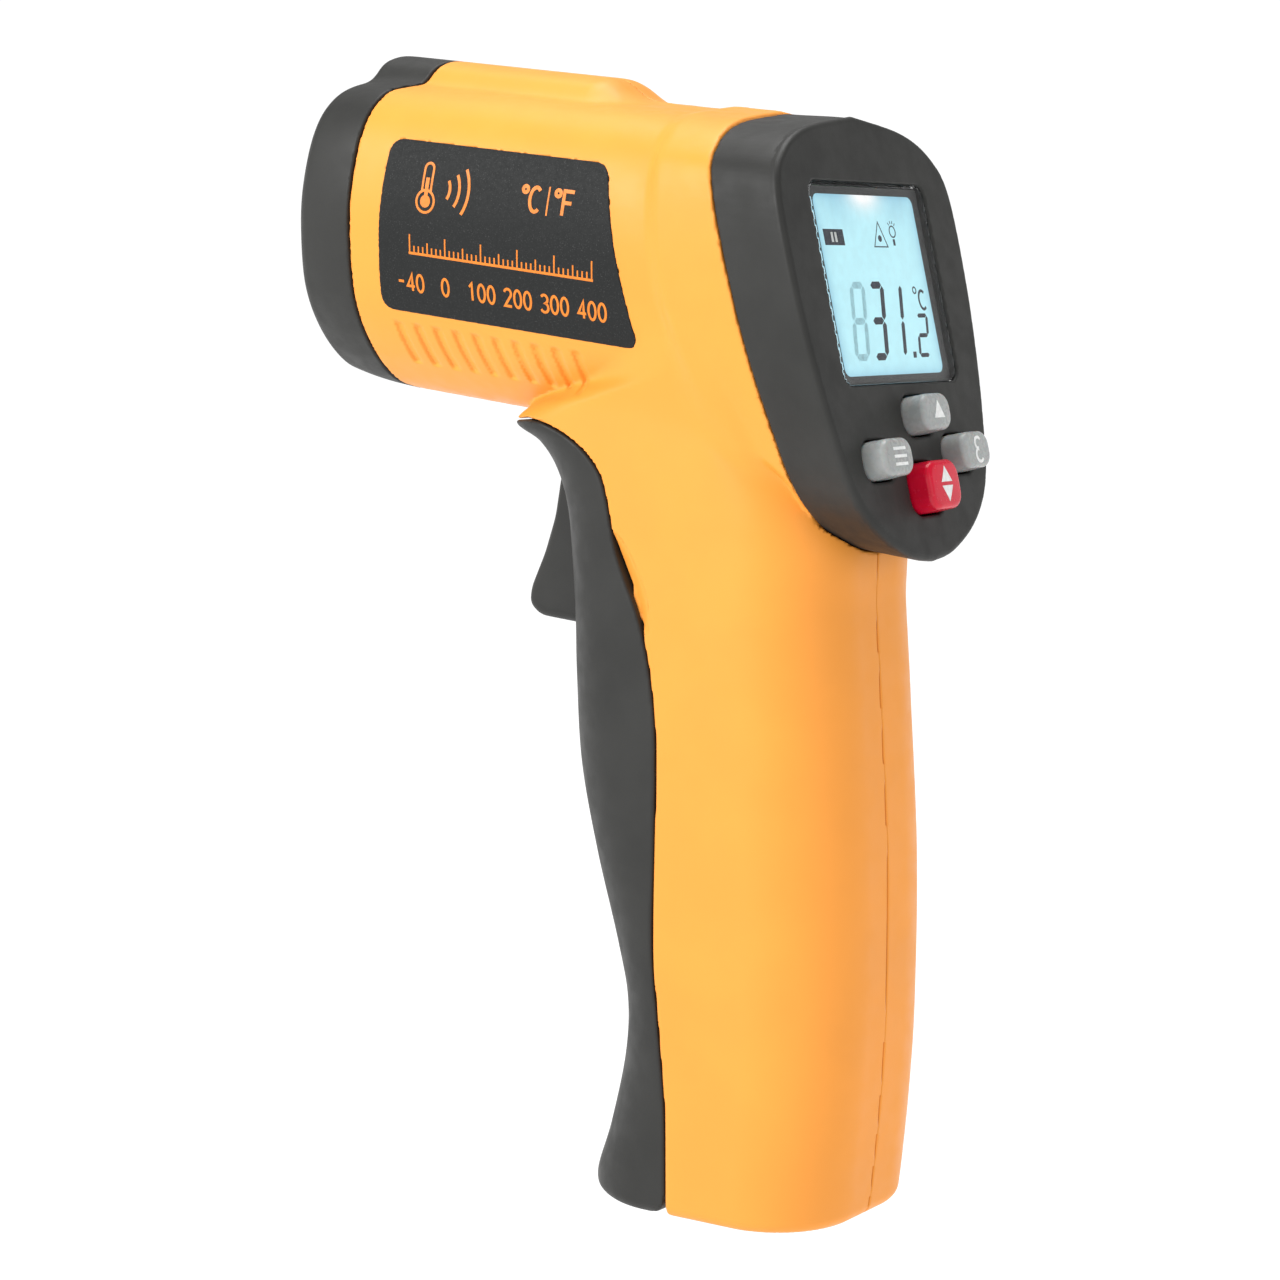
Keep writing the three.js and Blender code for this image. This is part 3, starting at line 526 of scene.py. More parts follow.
def head_skin(x, y, z):
    hx, hz = to_head(x, z)
    return cut(melt(barrel(hx, y, hz), hump(hx, y, hz), HEAD_FILLET), nose_front(hz) - hx, NOSE_EDGE)


def body_skin(x, y, z):
    """Outside of the whole case, before it is split into its pieces."""
    hx, _ = to_head(x, z)
    depth, up = to_display(x, z)
    head = cut(head_skin(x, y, z), hx - HEAD_END, 1.0)
    flare = table_curve(FLARE_FRONT, np.clip(up, FLARE_FRONT[0][0], FLARE_FRONT[-1][0]))
    rear = cut(rear_section(depth, y, up), np.maximum(flare - depth, depth - BEZEL_FACE), SOFT_EDGE)
    return melt(melt(head, rear, HEAD_FILLET), grip(x, y, z), grip_fillet(x, depth))


def nose_seam(hz):
    """Where the nose cap ends; the line runs a little further back over the hump."""
    return NOSE_SEAM + NOSE_SEAM_STEP * smoothstep(hz, *NOSE_SEAM_RISE)


def rib_relief(hx, hz):
    """Depth of the row of finger grooves, steep in front and fading out behind."""
    along = hx - RIB_FIRST - RIB_LEAN * (RIB_TOP - hz) / (RIB_TOP - RIB_BOTTOM)
    index = np.clip(np.round(along / RIB_PITCH), 0, RIB_COUNT - 1)
    across = along - index * RIB_PITCH
    profile = smoothstep(across, *RIB_RISE) * (1 - smoothstep(across, *RIB_FADE))
    foot = smoothstep(hz, RIB_BOTTOM - 0.4, RIB_BOTTOM + 0.3)
    return RIB_DEPTH * profile * (foot * (1 - smoothstep(hz, RIB_TOP - 0.3, RIB_TOP + 0.4)))


def bezel_room(depth, y, up):
    """Space kept free for the bezel: all of it above the handle, only its own outline at the handle."""
    lower = BEZEL_LOW - (up + AXIS_LEAN * np.minimum(0, depth))
    inside = np.minimum(lower, rear_section(depth, y, up) - BEZEL_GAP)
    return np.maximum(BEZEL_BACK - BEZEL_GAP - depth, inside)


def rod_y(x, z, px, pz, radius):
    return np.hypot(x - px, z - pz) - radius


def boss_distance(x, z, boss):
    bx, bz = from_head(boss[0], boss[1]) if boss[2] else (boss[0], boss[1])
    return np.hypot(x - bx, z - bz)


# ---- case pieces as fields
def shell_room(x, y, z):
    """Hollow of the case; the tip of the grip above the trigger stays solid."""
    hx, hz = to_head(x, z)
    depth, up = to_display(x, z)
    head_room = cut(barrel(hx, y, hz) + WALL, slab(hx, *HEAD_ROOM), 0.5)
    rear_room = meet(rear_section(depth, y, up) + WALL, slab(depth, *REAR_ROOM))
    behind_tip = np.where(z > TIP_FOOT, -slab(x, -FAR, TIP_BACK), -FAR)
    return both(head_room, rear_room, meet(grip(x, y, z) + WALL, behind_tip))


def scooped(field, skin, x, z):
    """Shallow scoop beside the upper edge of the door, with a pad of wall behind it."""
    scoop = NOTCH_AREA(x, z)
    pad = meet(scoop - 1.5, slab(-skin, 1.0, 3.9), 0.4 - DOOR(x, z))
    depth = np.clip(0.1 - NOTCH_SLOPE * scoop, 0, NOTCH_DEPTH)
    return carve(both(field, pad), meet(scoop, -(skin + depth)), 0.4)


def shell_field(x, y, z):
    """Both shell halves before they are parted."""
    hx, hz = to_head(x, z)
    depth, up = to_display(x, z)
    skin = body_skin(x, y, z)
    field = carve(skin + rib_relief(hx, hz), DOOR(x, z) - DOOR_GAP)
    field = scooped(carve(field, shell_room(x, y, z)), skin, x, z)
    bosses = both(*[boss_distance(x, z, boss) - boss[3] for boss in BOSSES])
    spring_stop = meet(slab(x, *SPRING_STOP), slab(z, *SPRING_STOP_HEIGHT))
    field = both(field, meet(both(bosses, spring_stop), skin + 1.0))
    field = both(field, ear_field(x, y, z), lug_field(x, y, z))
    field = carve(field, bezel_room(depth, y, up), 0.25)
    field = cut(field, nose_seam(hz) - hx)
    recess = meet(LABEL(hx, hz) + 0.3, -(barrel(hx, y, hz) + LABEL_DEPTH + 0.6))
    return carve(field, recess, 0.15)


def ear_field(x, y, z):
    """Two ears that hold the trigger pin."""
    px, pz = TRIGGER_PIVOT
    ear = meet(slab(x, px - 2.3, px + 11), slab(z, pz - 2.4, pz + 9), slab(np.abs(y), *EAR_SPAN))
    return carve(ear, rod_y(x, z, px, pz, TRIGGER_BORE), FINE_EDGE)


def lug_field(x, y, z):
    """Eye at the foot of the shells that holds the door pin."""
    px, pz = DOOR_PIVOT
    foot = meet(slab(x, px, px + 5.8), slab(z, 0.9, 3.9))
    eye = both(rod_y(x, z, px, pz, EYE_RADIUS), foot)
    return carve(meet(eye, np.abs(y) - EYE_HALF), rod_y(x, z, px, pz, DOOR_BORE), FINE_EDGE)


def left_shell_field(x, y, z):
    holes = both(*[boss_distance(x, z, boss) - BOSS_BORE for boss in BOSSES])
    field = cut(shell_field(x, y, z), y, FINE_EDGE)
    return carve(field, meet(holes, slab(y, -4.5, 5)), FINE_EDGE)


def right_shell_field(x, y, z):
    reach = both(*[boss_distance(x, z, boss) for boss in BOSSES])
    shafts = meet(reach - BOSS_BORE, slab(y, -5, 40))
    heads = meet(reach - HEAD_BORE, slab(y, SCREW_HEAD[0] - 0.1, 40))
    return carve(cut(shell_field(x, y, z), -y, FINE_EDGE), both(shafts, heads), BORE_EDGE)


def door_field(x, y, z):
    px, pz = DOOR_PIVOT
    field = carve(body_skin(x, y, z), grip(x, y, z) + WALL)
    field = cut(field, DOOR(x, z) + 0.02, 0.35)
    hx, hz = to_head(x, z)
    field = carve(field, barrel(hx, y, hz) - 0.3, BORE_EDGE)
    field = carve(field, meet(slab(z, *TRIGGER_SLOT), np.abs(y) - TRIGGER_HALF_WIDTH - TRIGGER_GAP))
    tail = meet(slab(x, px, px + 9), z - pz)
    field = carve(field, meet(tail, -(rod_y(x, z, px, pz, 2.5))), BORE_EDGE)
    knuckle = meet(rod_y(x, z, px, pz, KNUCKLE_RADIUS), slab(np.abs(y), *KNUCKLE_SPAN))
    web = meet(slab(x, px - 5, px), slab(z, 1, pz + 1.6), slab(np.abs(y), *KNUCKLE_SPAN))
    field = both(field, knuckle, web)
    lug_room = both(rod_y(x, z, px, pz, EYE_ROOM), meet(slab(x, px, px + 10), slab(z, -2, 8)))
    field = carve(field, meet(lug_room, np.abs(y) - 4.8), BORE_EDGE)
    return carve(field, meet(rod_y(x, z, px, pz, DOOR_BORE), np.abs(y) - 9.9), FINE_EDGE)


def nose_field(x, y, z):
    hx, hz = to_head(x, z)
    field = cut(head_skin(x, y, z), hx - nose_seam(hz) + NOSE_GAP)
    front = nose_front(hz)
    field = carve(field, meet(barrel(hx, y, hz) + NOSE_WALL, front + NOSE_DEPTH - hx))
    field = carve(field, meet(barrel(hx, y, hz) + NOSE_RIM, hx - front - NOSE_RIM_HEIGHT), 0.4)
    inward = hx - NOSE_FRONT
    well = meet(np.hypot(y, hz - LENS_HEIGHT) - WELL_RADIUS + inward * WELL_SLOPE, inward - WELL_DEPTH)
    field = carve(field, well, 0.4)
    beam = np.hypot(y, hz - LASER_HEIGHT)
    seat = meet(beam - LASER_SEAT_RADIUS, slab(inward, *LASER_SEAT))
    return carve(field, both(meet(beam - LASER_BORE, inward - LASER_DEPTH), seat), BORE_EDGE)


def key_outline(y, up, spec, grow=0.0):
    middle, down, width, height, corner = spec
    return rounded_box(y - middle, up + down, width / 2 + grow, height / 2 + grow, corner + grow)


def bezel_field(x, y, z):
    depth, up = to_display(x, z)
    field = cut(rear_section(depth, y, up), depth - BEZEL_FACE, BEZEL_EDGE)
    field = cut(field, BEZEL_BACK - depth)
    field = carve(field, meet(rear_section(depth, y, up) + BEZEL_WALL, depth - BEZEL_FACE + 2.2))
    field = carve(field, rounded_box(y, up - WINDOW_CENTRE, *WINDOW_HALF, WINDOW_CORNER), 0.25)
    return carve(field, both(*[key_outline(y, up, spec, KEY_GAP) for spec in KEYS.values()]), 0.35)


def trigger_field(x, y, z):
    blade = cut(TRIGGER(x, z), np.abs(y) - TRIGGER_HALF_WIDTH, 1.6)
    return carve(blade, rod_y(x, z, *TRIGGER_PIVOT, TRIGGER_BORE), FINE_EDGE)


def key_crown(y, up, spec):
    return KEY_FACE - KEY_CROWN * ((y - spec[0]) ** 2 + (up + spec[1]) ** 2)


def key_field(spec):
    def field(x, y, z):
        depth, up = to_display(x, z)
        side = key_outline(y, up, spec) + KEY_DRAFT * np.maximum(depth - BEZEL_FACE, 0)
        return cut(cut(side, depth - key_crown(y, up, spec), 0.7), KEY_FOOT - depth, BORE_EDGE)
    return field


def pane_field(x, y, z):
    depth, up = to_display(x, z)
    half_width, half_height = (half - 0.1 for half in WINDOW_HALF)
    outline = rounded_box(y, up - WINDOW_CENTRE, half_width, half_height, WINDOW_CORNER - 0.1)
    return cut(outline, slab(depth, 0.1, 1.05), 0.12)


def label_field(side):
    def field(x, y, z):
        hx, hz = to_head(x, z)
        plate = slab(barrel(hx, y, hz), -LABEL_DEPTH - 0.5, LABEL_RISE)
        return meet(cut(LABEL(hx, hz), plate, 0.12), -side * y)
    return field


def battery_field(x, y, z):
    along = x - BATTERY_MIDDLE
    jacket = cut(rounded_box(along, y, *BATTERY_HALF, 2.4), slab(z, *BATTERY_SPAN), 0.7)
    posts = np.hypot(along, np.abs(y) - TERMINAL_OFFSET) - TERMINAL_RADIUS
    return both(jacket, cut(posts, slab(z, 51, TERMINAL_TOP), 0.35))


def screw_field(index):
    bx, bz, tilted, _ = BOSSES[index]
    long, short = SCREW_CROSS

    def field(x, y, z):
        u, w = to_head(x, z) if tilted else (x, z)
        across = np.hypot(u - bx, w - bz)
        head = cut(across - SCREW_RADII[0], slab(y, *SCREW_HEAD), 0.35)
        shaft = meet(across - SCREW_RADII[1], slab(y, *SCREW_SHAFT))
        cross = both(*[rounded_box(u - bx, w - bz, a, b, 0.1) for a, b in ((long, short), (short, long))])
        return carve(both(head, shaft), meet(cross, SCREW_CROSS_FOOT - y), 0.08)
    return field


# ---- meshing
def gradient(field, points, reach=0.04):
    columns = []
    for axis in range(3):
        shift = np.zeros(3)
        shift[axis] = reach
        ahead = field(*(points + shift).T)
        behind = field(*(points - shift).T)
        columns.append((ahead - behind) / (2 * reach))
    return np.stack(columns, axis=1)


def settle(field, points, limit, rounds=3):
    """Moves points onto the surface of the field."""
    for _ in range(rounds):
        slope = gradient(field, points)
        value = field(*points.T)
        step = -value / np.maximum((slope ** 2).sum(axis=1), 0.05)
        points = points + slope * np.clip(step, -limit, limit)[:, None]
    return points


def relax(points, quads, share=0.5):
    """Evens out the spacing of the points."""
    total = np.zeros_like(points)
    count = np.zeros(len(points))
    for corner in range(4):
        for step in (1, 3):
            other = quads[:, (corner + step) % 4]
            np.add.at(total, quads[:, corner], points[other])
            np.add.at(count, quads[:, corner], 1)
    return points * (1 - share) + share * total / np.maximum(count, 1)[:, None]


def surface_net(field, low, high, step):
    """Quads around the zero level of a field, one point to a cell that the surface crosses."""
    axes = [np.arange(low[k], high[k] + step, step) for k in range(3)]
    values = field(axes[0][:, None, None], axes[1][None, :, None], axes[2][None, None, :])
    values = np.broadcast_to(values, [len(a) for a in axes]).astype(np.float32)
    inside = values < 0
    corners = [(i, j, k) for i in (0, 1) for j in (0, 1) for k in (0, 1)]
    cells = [n - 1 for n in values.shape]

    def corner_view(grid, c):
        return grid[c[0]:c[0] + cells[0], c[1]:c[1] + cells[1], c[2]:c[2] + cells[2]]

    count = sum(corner_view(inside, c).astype(np.int8) for c in corners)
    active = (count > 0) & (count < 8)
    index = np.full(active.shape, -1, np.int64)
    where = np.argwhere(active)
    index[active] = np.arange(len(where))
    reading = {c: corner_view(values, c)[active] for c in corners}
    total = np.zeros((len(where), 3))
    hits = np.zeros(len(where))
    for a in corners:
        for axis in range(3):
            if a[axis]:
                continue
            b = tuple(1 if k == axis else a[k] for k in range(3))
            va, vb = reading[a], reading[b]
            crossed = (va < 0) != (vb < 0)
            t = np.where(crossed, va / np.where(crossed, va - vb, 1), 0)
            point = np.tile(np.array(a, float), (len(where), 1))
            point[:, axis] += t
            total[crossed] += point[crossed]
            hits += crossed
    points = np.array(low) + step * (where + total / hits[:, None])
    quads = []
    for axis in range(3):
        u, v = (axis + 1) % 3, (axis + 2) % 3
        spots = np.argwhere(np.diff(inside, axis=axis))
        keep = (spots[:, u] > 0) & (spots[:, v] > 0) & (spots[:, u] < cells[u]) & (spots[:, v] < cells[v])
        spots = spots[keep]
        outward = inside[tuple(spots.T)]
        ring = []
        for du, dv in ((0, 0), (1, 0), (1, 1), (0, 1)):
            cell = spots.copy()
            cell[:, u] -= du
            cell[:, v] -= dv
            ring.append(index[tuple(cell.T)])
        ring = np.stack(ring, axis=1)
        quads.append(np.where(outward[:, None], ring, ring[:, ::-1]))
    return points, np.vstack(quads)


def make_object(name, points, faces, normals=None, smooth=True):
    mesh = bpy.data.meshes.new(name)
    mesh.from_pydata((np.asarray(points) * MM).tolist(), [], [list(map(int, f)) for f in faces])
    mesh.polygons.foreach_set("use_smooth", [smooth] * len(mesh.polygons))
    if normals is not None:
        mesh.normals_split_custom_set_from_vertices(normals.tolist())
    mesh.update()
    return add_object(name, mesh)


def finish_piece(piece, node):
    """The piece moves with its CAD node and takes its place."""
    piece.data.materials.append(look_of(node))
    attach(piece, BODY_OF[node])
    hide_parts(node)
    return piece


def sculpt(node, field, step, margin=2.0):
    """Smooth piece for a CAD node, shaped by its field."""
    low, high = (np.array(corner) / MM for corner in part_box(node))
    points, quads = surface_net(field, low - margin, high + margin, step)
    points = relax(settle(field, points, step), quads)
    points = settle(field, points, step / 2)
    slope = gradient(field, points)
    normals = slope / np.maximum(np.linalg.norm(slope, axis=1), 1e-6)[:, None]
    return finish_piece(make_object(f"{node}_skin", points, quads, normals), node)


SLOT_OF = {part["node"]: part["material_slot"] for part in frame["record"]["subparts"]}
BODY_OF = {node: body for body, nodes in frame["record"]["behaviour"]["bodies"].items() for node in nodes}
OTHER_LOOK = {"lens_retainer": "brass", "lcd_panel": "lcd_border"}


def look_of(node):
    return LOOKS[OTHER_LOOK.get(node, SLOT_OF[node])].material


# ---- materials
def put(tree, socket, value):
    """Links another socket to this one, or sets a constant on it."""
    if isinstance(value, bpy.types.NodeSocket):
        tree.links.new(value, socket)
    else:
        socket.default_value = value


def add_node(tree, kind, inputs, **settings):
    node = tree.nodes.new(kind)
    for key, value in settings.items():
        setattr(node, key, value)
    for key, value in inputs.items():
        put(tree, node.inputs[key], value)
    return node


class Look:
    """A Principled material and the few nodes that its surface detail is made of."""

    def __init__(self, name, colour, roughness, metallic=0.0, specular=0.5):
        self.material = bpy.data.materials.new(name)
        self.material.use_nodes = True
        self.tree = self.material.node_tree
        self.shader = self.tree.nodes["Principled BSDF"]
        self.place = self.tree.nodes.new("ShaderNodeTexCoord").outputs["Object"]
        self.fix({"Base Color": (*colour, 1), "Roughness": roughness})
        self.fix({"Metallic": metallic, "Specular IOR Level": specular})

    def fix(self, values):
        for socket, value in values.items():
            put(self.tree, self.shader.inputs[socket], value)

    def node(self, kind, inputs, **settings):
        return add_node(self.tree, kind, inputs, **settings)

    def noise(self, size, detail):
        """Noise whose features are about size millimetres across."""
        inputs = {"Vector": self.place, "Scale": 1 / (size * MM), "Detail": detail}
        return self.node("ShaderNodeTexNoise", inputs).outputs["Fac"]

    def patches(self, size, detail, low, high):
        return self.span(self.noise(size, detail), low, high)

    def span(self, value, low, high, to_low=0.0, to_high=1.0):
        inputs = {"Value": value, "From Min": low, "From Max": high, "To Min": to_low, "To Max": to_high}
        return self.node("ShaderNodeMapRange", inputs, interpolation_type="SMOOTHSTEP").outputs["Result"]

    def mix(self, factor, under, over, **settings):
        mix = self.node("ShaderNodeMix", {"Factor": factor}, data_type="RGBA", **settings)
        sockets = [socket for socket in mix.inputs if socket.type == "RGBA"]
        put(self.tree, sockets[0], under)
        put(self.tree, sockets[1], over)
        return next(socket for socket in mix.outputs if socket.type == "RGBA")

    def paint(self, mask, under, over):
        self.fix({"Base Color": self.mix(mask, (*under, 1), (*over, 1))})

    def gloss(self, size, detail, high, least, most):
        """Roughness that wanders between its least and most with a noise."""
        self.fix({"Roughness": self.span(self.noise(size, detail), GLOSS_LOW, high, least, most)})

    def bump(self, height, depth):
        """Relief of that depth in millimetres."""
        relief = self.node("ShaderNodeBump", {"Height": height, "Distance": depth * MM})
        self.fix({"Normal": relief.outputs["Normal"]})

    def vary(self, mask, colours, gloss, relief):
        """Two colours by a mask, uneven gloss, and relief given as size, detail and depth."""
        self.paint(mask, *colours)
        self.gloss(*gloss)
        self.bump(self.noise(*relief[:2]), relief[2])
        return self


def painted(name, kind, colour, roughness, share, depth):
    """Look with the clouds, uneven gloss and fine relief of its kind of material."""
    metallic, specular, clouds, gloss, grain = KINDS[kind]
    look = Look(f"{name}_look", colour, roughness, metallic, specular)
    if kind == "rubber":
        look.fix({"Subsurface Weight": 0.25, "Subsurface Scale": 0.6 * MM})
    size, detail, below, above = gloss
    colours = (colour, tuple(c * share for c in colour))
    gloss = (size, detail, GLOSS_HIGH, roughness - below, roughness + above)
    return look.vary(look.patches(*clouds), colours, gloss, (*grain, depth))


def label_look():
    """Matte dark film with fine pale flecks."""
    look = Look("side_plate_look", (0.03, 0.03, 0.03), 0.5, specular=0.2)
    flecks = look.patches(0.16, 1, 0.6, 0.78)
    colours = ((0.013, 0.014, 0.014), (0.05, 0.05, 0.05))
    return look.vary(flecks, colours, (0.5, 2, 0.7, 0.55, 0.65), (0.16, 1, 0.002))


def lens_look():
    """Dark coated infrared lens."""
    look = Look("lens_glass_look", (0.10, 0.09, 0.13), 0.12, metallic=0.75)
    look.fix({"Coat Weight": 0.5})
    tint = look.patches(5, 2, 0.3, 0.7)
    colours = ((0.10, 0.09, 0.14), (0.16, 0.12, 0.10))
    return look.vary(tint, colours, (0.8, 4, 0.8, 0.08, 0.18), (1.5, 2, 0.001))


def battery_look():
    """Drawn steel jacket printed with a dark band round its lower part."""
    look = Look("battery_case_look", (0.6, 0.6, 0.6), 0.35, metallic=0.9)
    height = look.node("ShaderNodeSeparateXYZ", {"Vector": look.place}).outputs["Z"]
    band = look.span(height, 38.2 * MM, 38.5 * MM, 1.0, 0.0)
    colours = ((0.62, 0.60, 0.56), (0.02, 0.025, 0.05))
    return look.vary(band, colours, (0.6, 5, 0.7, 0.28, 0.45), (1.2, 4, 0.01))


def board_look():
    """Green solder mask over copper tracks."""
    look = Look("board_look", (0.01, 0.13, 0.05), 0.35)
    cells = {"Vector": look.place, "Scale": 1 / (2.2 * MM)}
    tracks = look.node("ShaderNodeTexVoronoi", cells, feature="DISTANCE_TO_EDGE").outputs["Distance"]
    lines = look.span(tracks, 0.03, 0.09, 1.0, 0.0)
    look.paint(lines, (0.008, 0.11, 0.04), (0.03, 0.26, 0.09))
    look.gloss(1.5, 4, 0.7, 0.28, 0.45)
    look.bump(lines, 0.03)
    return look


def clear_look():
    """Clear plastic that hardly bends the light."""
    look = Look("clear_pane_look", (0.97, 0.98, 0.98), 0.05)
    look.fix({"Transmission Weight": 1.0, "IOR": 1.2})
    look.gloss(4, 4, 0.8, 0.03, 0.1)
    look.bump(look.noise(3, 2), 0.002)
    return look


def glowing_look():
    """Backlit liquid crystal: its colours are kept on the mesh, with a faint mottle."""
    look = Look("lcd_glass_look", (0.02, 0.03, 0.03), 0.3)
    glow = look.node("ShaderNodeAttribute", {}, attribute_name="glow").outputs["Color"]
    mottle = look.patches(1.6, 5, 0.3, 0.7)
    glow = look.mix(0.06, glow, mottle, blend_type="MULTIPLY")
    look.fix({"Emission Color": glow, "Emission Strength": 1.0})
    return look


def make_looks():
    """A look for each material slot of the record, and for the printed marks."""
    looks = {name: painted(name, *row) for name, row in PAINTS.items()}
    looks.update(side_plate=label_look(), clear_pane=clear_look(), lens_glass=lens_look(), board=board_look())
    looks.update(battery_case=battery_look(), lcd_glow=glowing_look())
    return looks


LOOKS = make_looks()


# ---- flat graphics as thin slabs
def stroke(points, width, closed=False):
    """A pen line as a strip of quads: points and faces."""
    line = np.asarray(points, float)
    ahead = np.diff(line, axis=0, append=line[:1])
    behind = np.roll(ahead, 1, axis=0)
    if not closed:
        ahead[-1] = ahead[-2]
        behind[0] = ahead[0]
    ahead /= np.linalg.norm(ahead, axis=1)[:, None]
    behind /= np.linalg.norm(behind, axis=1)[:, None]
    along = ahead + behind
    along /= np.linalg.norm(along, axis=1)[:, None]
    bend = np.maximum((along * ahead).sum(axis=1), 0.5)
    side = np.stack([-along[:, 1], along[:, 0]], axis=1) * (width / 2 / bend)[:, None]
    count = len(line)
    last = count if closed else count - 1
    faces = [(i, (i + 1) % count, (i + 1) % count + count, i + count) for i in range(last)]
    return np.vstack([line - side, line + side]), faces


def blob(points):
    """A filled outline, anticlockwise."""
    points = np.asarray(points, float)
    x, y = points.T
    if np.sum(x * np.roll(y, -1) - y * np.roll(x, -1)) < 0:
        points = points[::-1]
    return points, [tuple(range(len(points)))]


def arc(x, y, radius, start, end, steps=16, squeeze=1.0):
    angles = np.radians(np.linspace(start, end, steps))
    return np.stack([x + radius * squeeze * np.cos(angles), y + radius * np.sin(angles)], axis=1)


def ring(x, y, radius, squeeze=1.0, steps=28):
    return arc(x, y, radius, 0, 360 * (1 - 1 / steps), steps, squeeze)


def grid_faces(rows, columns):
    """Quads between points that are kept row by row."""
    corners = (0, 1, columns + 1, columns)
    starts = [i * columns + j for i in range(rows - 1) for j in range(columns - 1)]
    return [tuple(start + corner for corner in corners) for start in starts]


def bar(x0, y0, x1, y1):
    """A long rectangle cut into short ones, so that it can follow a curved surface."""
    rows = max(2, int(abs(y1 - y0) / 0.6) + 1)
    columns = max(2, int(abs(x1 - x0) / 4) + 1)
    grid = [(x, y) for y in np.linspace(y0, y1, rows) for x in np.linspace(x0, x1, columns)]
    return np.array(grid), grid_faces(rows, columns)


GLYPHS = {
    "0": [ring(0.5, 1, 1, 0.5)],
    "1": [[(0.15, 1.55), (0.55, 2), (0.55, 1), (0.55, 0)]],
    "2": [np.vstack([
        arc(0.5, 1.5, 0.5, 165, -30, 12), [(0.45, 0.6), (0.02, 0.02), (0.5, 0.02), (1.02, 0.02)],
    ])],
    "3": [np.vstack([arc(0.48, 1.5, 0.48, 150, -75, 12), arc(0.48, 0.52, 0.54, 70, -155, 14)])],
    "4": [[(1.08, 0.55), (0.5, 0.55), (0, 0.55), (0.75, 2), (0.75, 1), (0.75, 0)]],
    "C": [arc(0.55, 1, 1, 50, 310, 22, 0.58)],
    "F": [[(1, 2), (0.5, 2), (0.02, 2), (0.02, 1), (0.02, 0)], [(0.02, 1.05), (0.5, 1.05), (0.85, 1.05)]],
    "o": [ring(0.25, 1.75, 0.26, 1.0, 14)],
    "-": [[(0.1, 1), (0.5, 1), (0.9, 1)]],
}


def lettering(text, x, y, height, pen):
    """Strokes for plain scale numbers, from their left end."""
    shapes = []
    for letter in text:
        for line in GLYPHS[letter]:
            closed = letter in "0o"
            shapes.append(stroke(np.asarray(line) * height / 2 + (x, y), pen, closed))
        x += height * (0.42 if letter == "o" else 0.72)
    return shapes


def slab_piece(name, shapes, place, low, high, look, like):
    """Thin closed slabs over a surface; like is the CAD node whose body they share."""
    points, faces = [], []
    for outline, cells in shapes:
        base = len(points)
        count = len(outline)
        points.extend(place(outline, high))
        points.extend(place(outline, low))
        edges = {}
        for cell in cells:
            faces.append([base + i for i in cell])
            faces.append([base + count + i for i in reversed(cell)])
            for a, b in zip(cell, cell[1:] + cell[:1]):
                edges[(a, b)] = (b, a)
        for (a, b), twin in edges.items():
            if twin not in edges:
                faces.append([base + b, base + a, base + count + a, base + count + b])
    piece = make_object(name, points, faces, smooth=False)
    piece.data.materials.append(LOOKS[look].material)
    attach(piece, BODY_OF[like])
    return piece


def on_label(side):
    def place(outline, lift):
        hx = LABEL_MIDDLE - side * outline[:, 0]
        hz = outline[:, 1]
        y = np.full(len(hx), 17.0)
        for _ in range(10):
            y -= barrel(hx, y, hz) - LABEL_RISE - lift
        x, z = from_head(hx, hz)
        return np.stack([x, side * y, z], axis=1)
    return place


def on_display(outline, depth):
    x, z = from_display(depth, outline[:, 1])
    return np.stack([x, outline[:, 0], z], axis=1)


def on_key(spec):
    def place(outline, lift):
        y, up = outline[:, 0] + spec[0], outline[:, 1] - spec[1]
        x, z = from_display(key_crown(y, up, spec) + lift, up)
        return np.stack([x, y, z], axis=1)
    return place


def label_graphics():
    """Thermometer pictogram, units, and a temperature scale with its numbers."""
    stem = -13.0
    left, right = stem - 0.75, stem + 0.75
    cap = np.vstack([[(left, 131.4), (left, 133)], arc(stem, 134.4, 0.75, 180, 0, 9),
                     [(right, 133), (right, 131.4)]])
    shapes = [
        blob(ring(stem, 130.0, 0.85)),
        stroke(ring(stem, 130.0, 1.5), 0.35, True),
        bar(stem - 0.3, 130.4, stem + 0.3, 133.2),
        stroke(cap, 0.35),
    ]
    shapes += [stroke(arc(stem + 1.8, 131.9, radius, -34, 34, 14), 0.45) for radius in (2.2, 3.8, 5.4)]
    for unit, start in (("oC", 3.2), ("oF", 8.6)):
        shapes += lettering(unit, start, 130.6, UNIT_HEIGHT, 0.5)
    foot, line_top = SCALE_LINE
    shapes += [bar(7.35, 130.3, 7.6, 134.1), bar(-15.6, foot, 15.6, line_top)]
    for tick in range(8 * len(SCALE_NUMBERS) - 7):
        x = SCALE_LEFT + SCALE_PITCH * tick
        top = 125.3 if tick % 8 == 0 else 124.4 if tick % 4 == 0 else 123.8
        shapes.append(bar(x - 0.12, line_top, x + 0.12, top))
    for index, number in enumerate(SCALE_NUMBERS):
        x = SCALE_LEFT + 8 * SCALE_PITCH * index - 0.34 * NUMBER_HEIGHT * len(number)
        shapes += lettering(number, x, 117.6, NUMBER_HEIGHT, 0.36)
    return shapes


SEGMENTS = {
    "a": ((0, 1), (1, 1)), "b": ((1, 1), (1, 0.5)), "c": ((1, 0.5), (1, 0)), "d": ((0, 0), (1, 0)),
    "e": ((0, 0.5), (0, 0)), "f": ((0, 1), (0, 0.5)), "g": ((0, 0.5), (1, 0.5)),
}


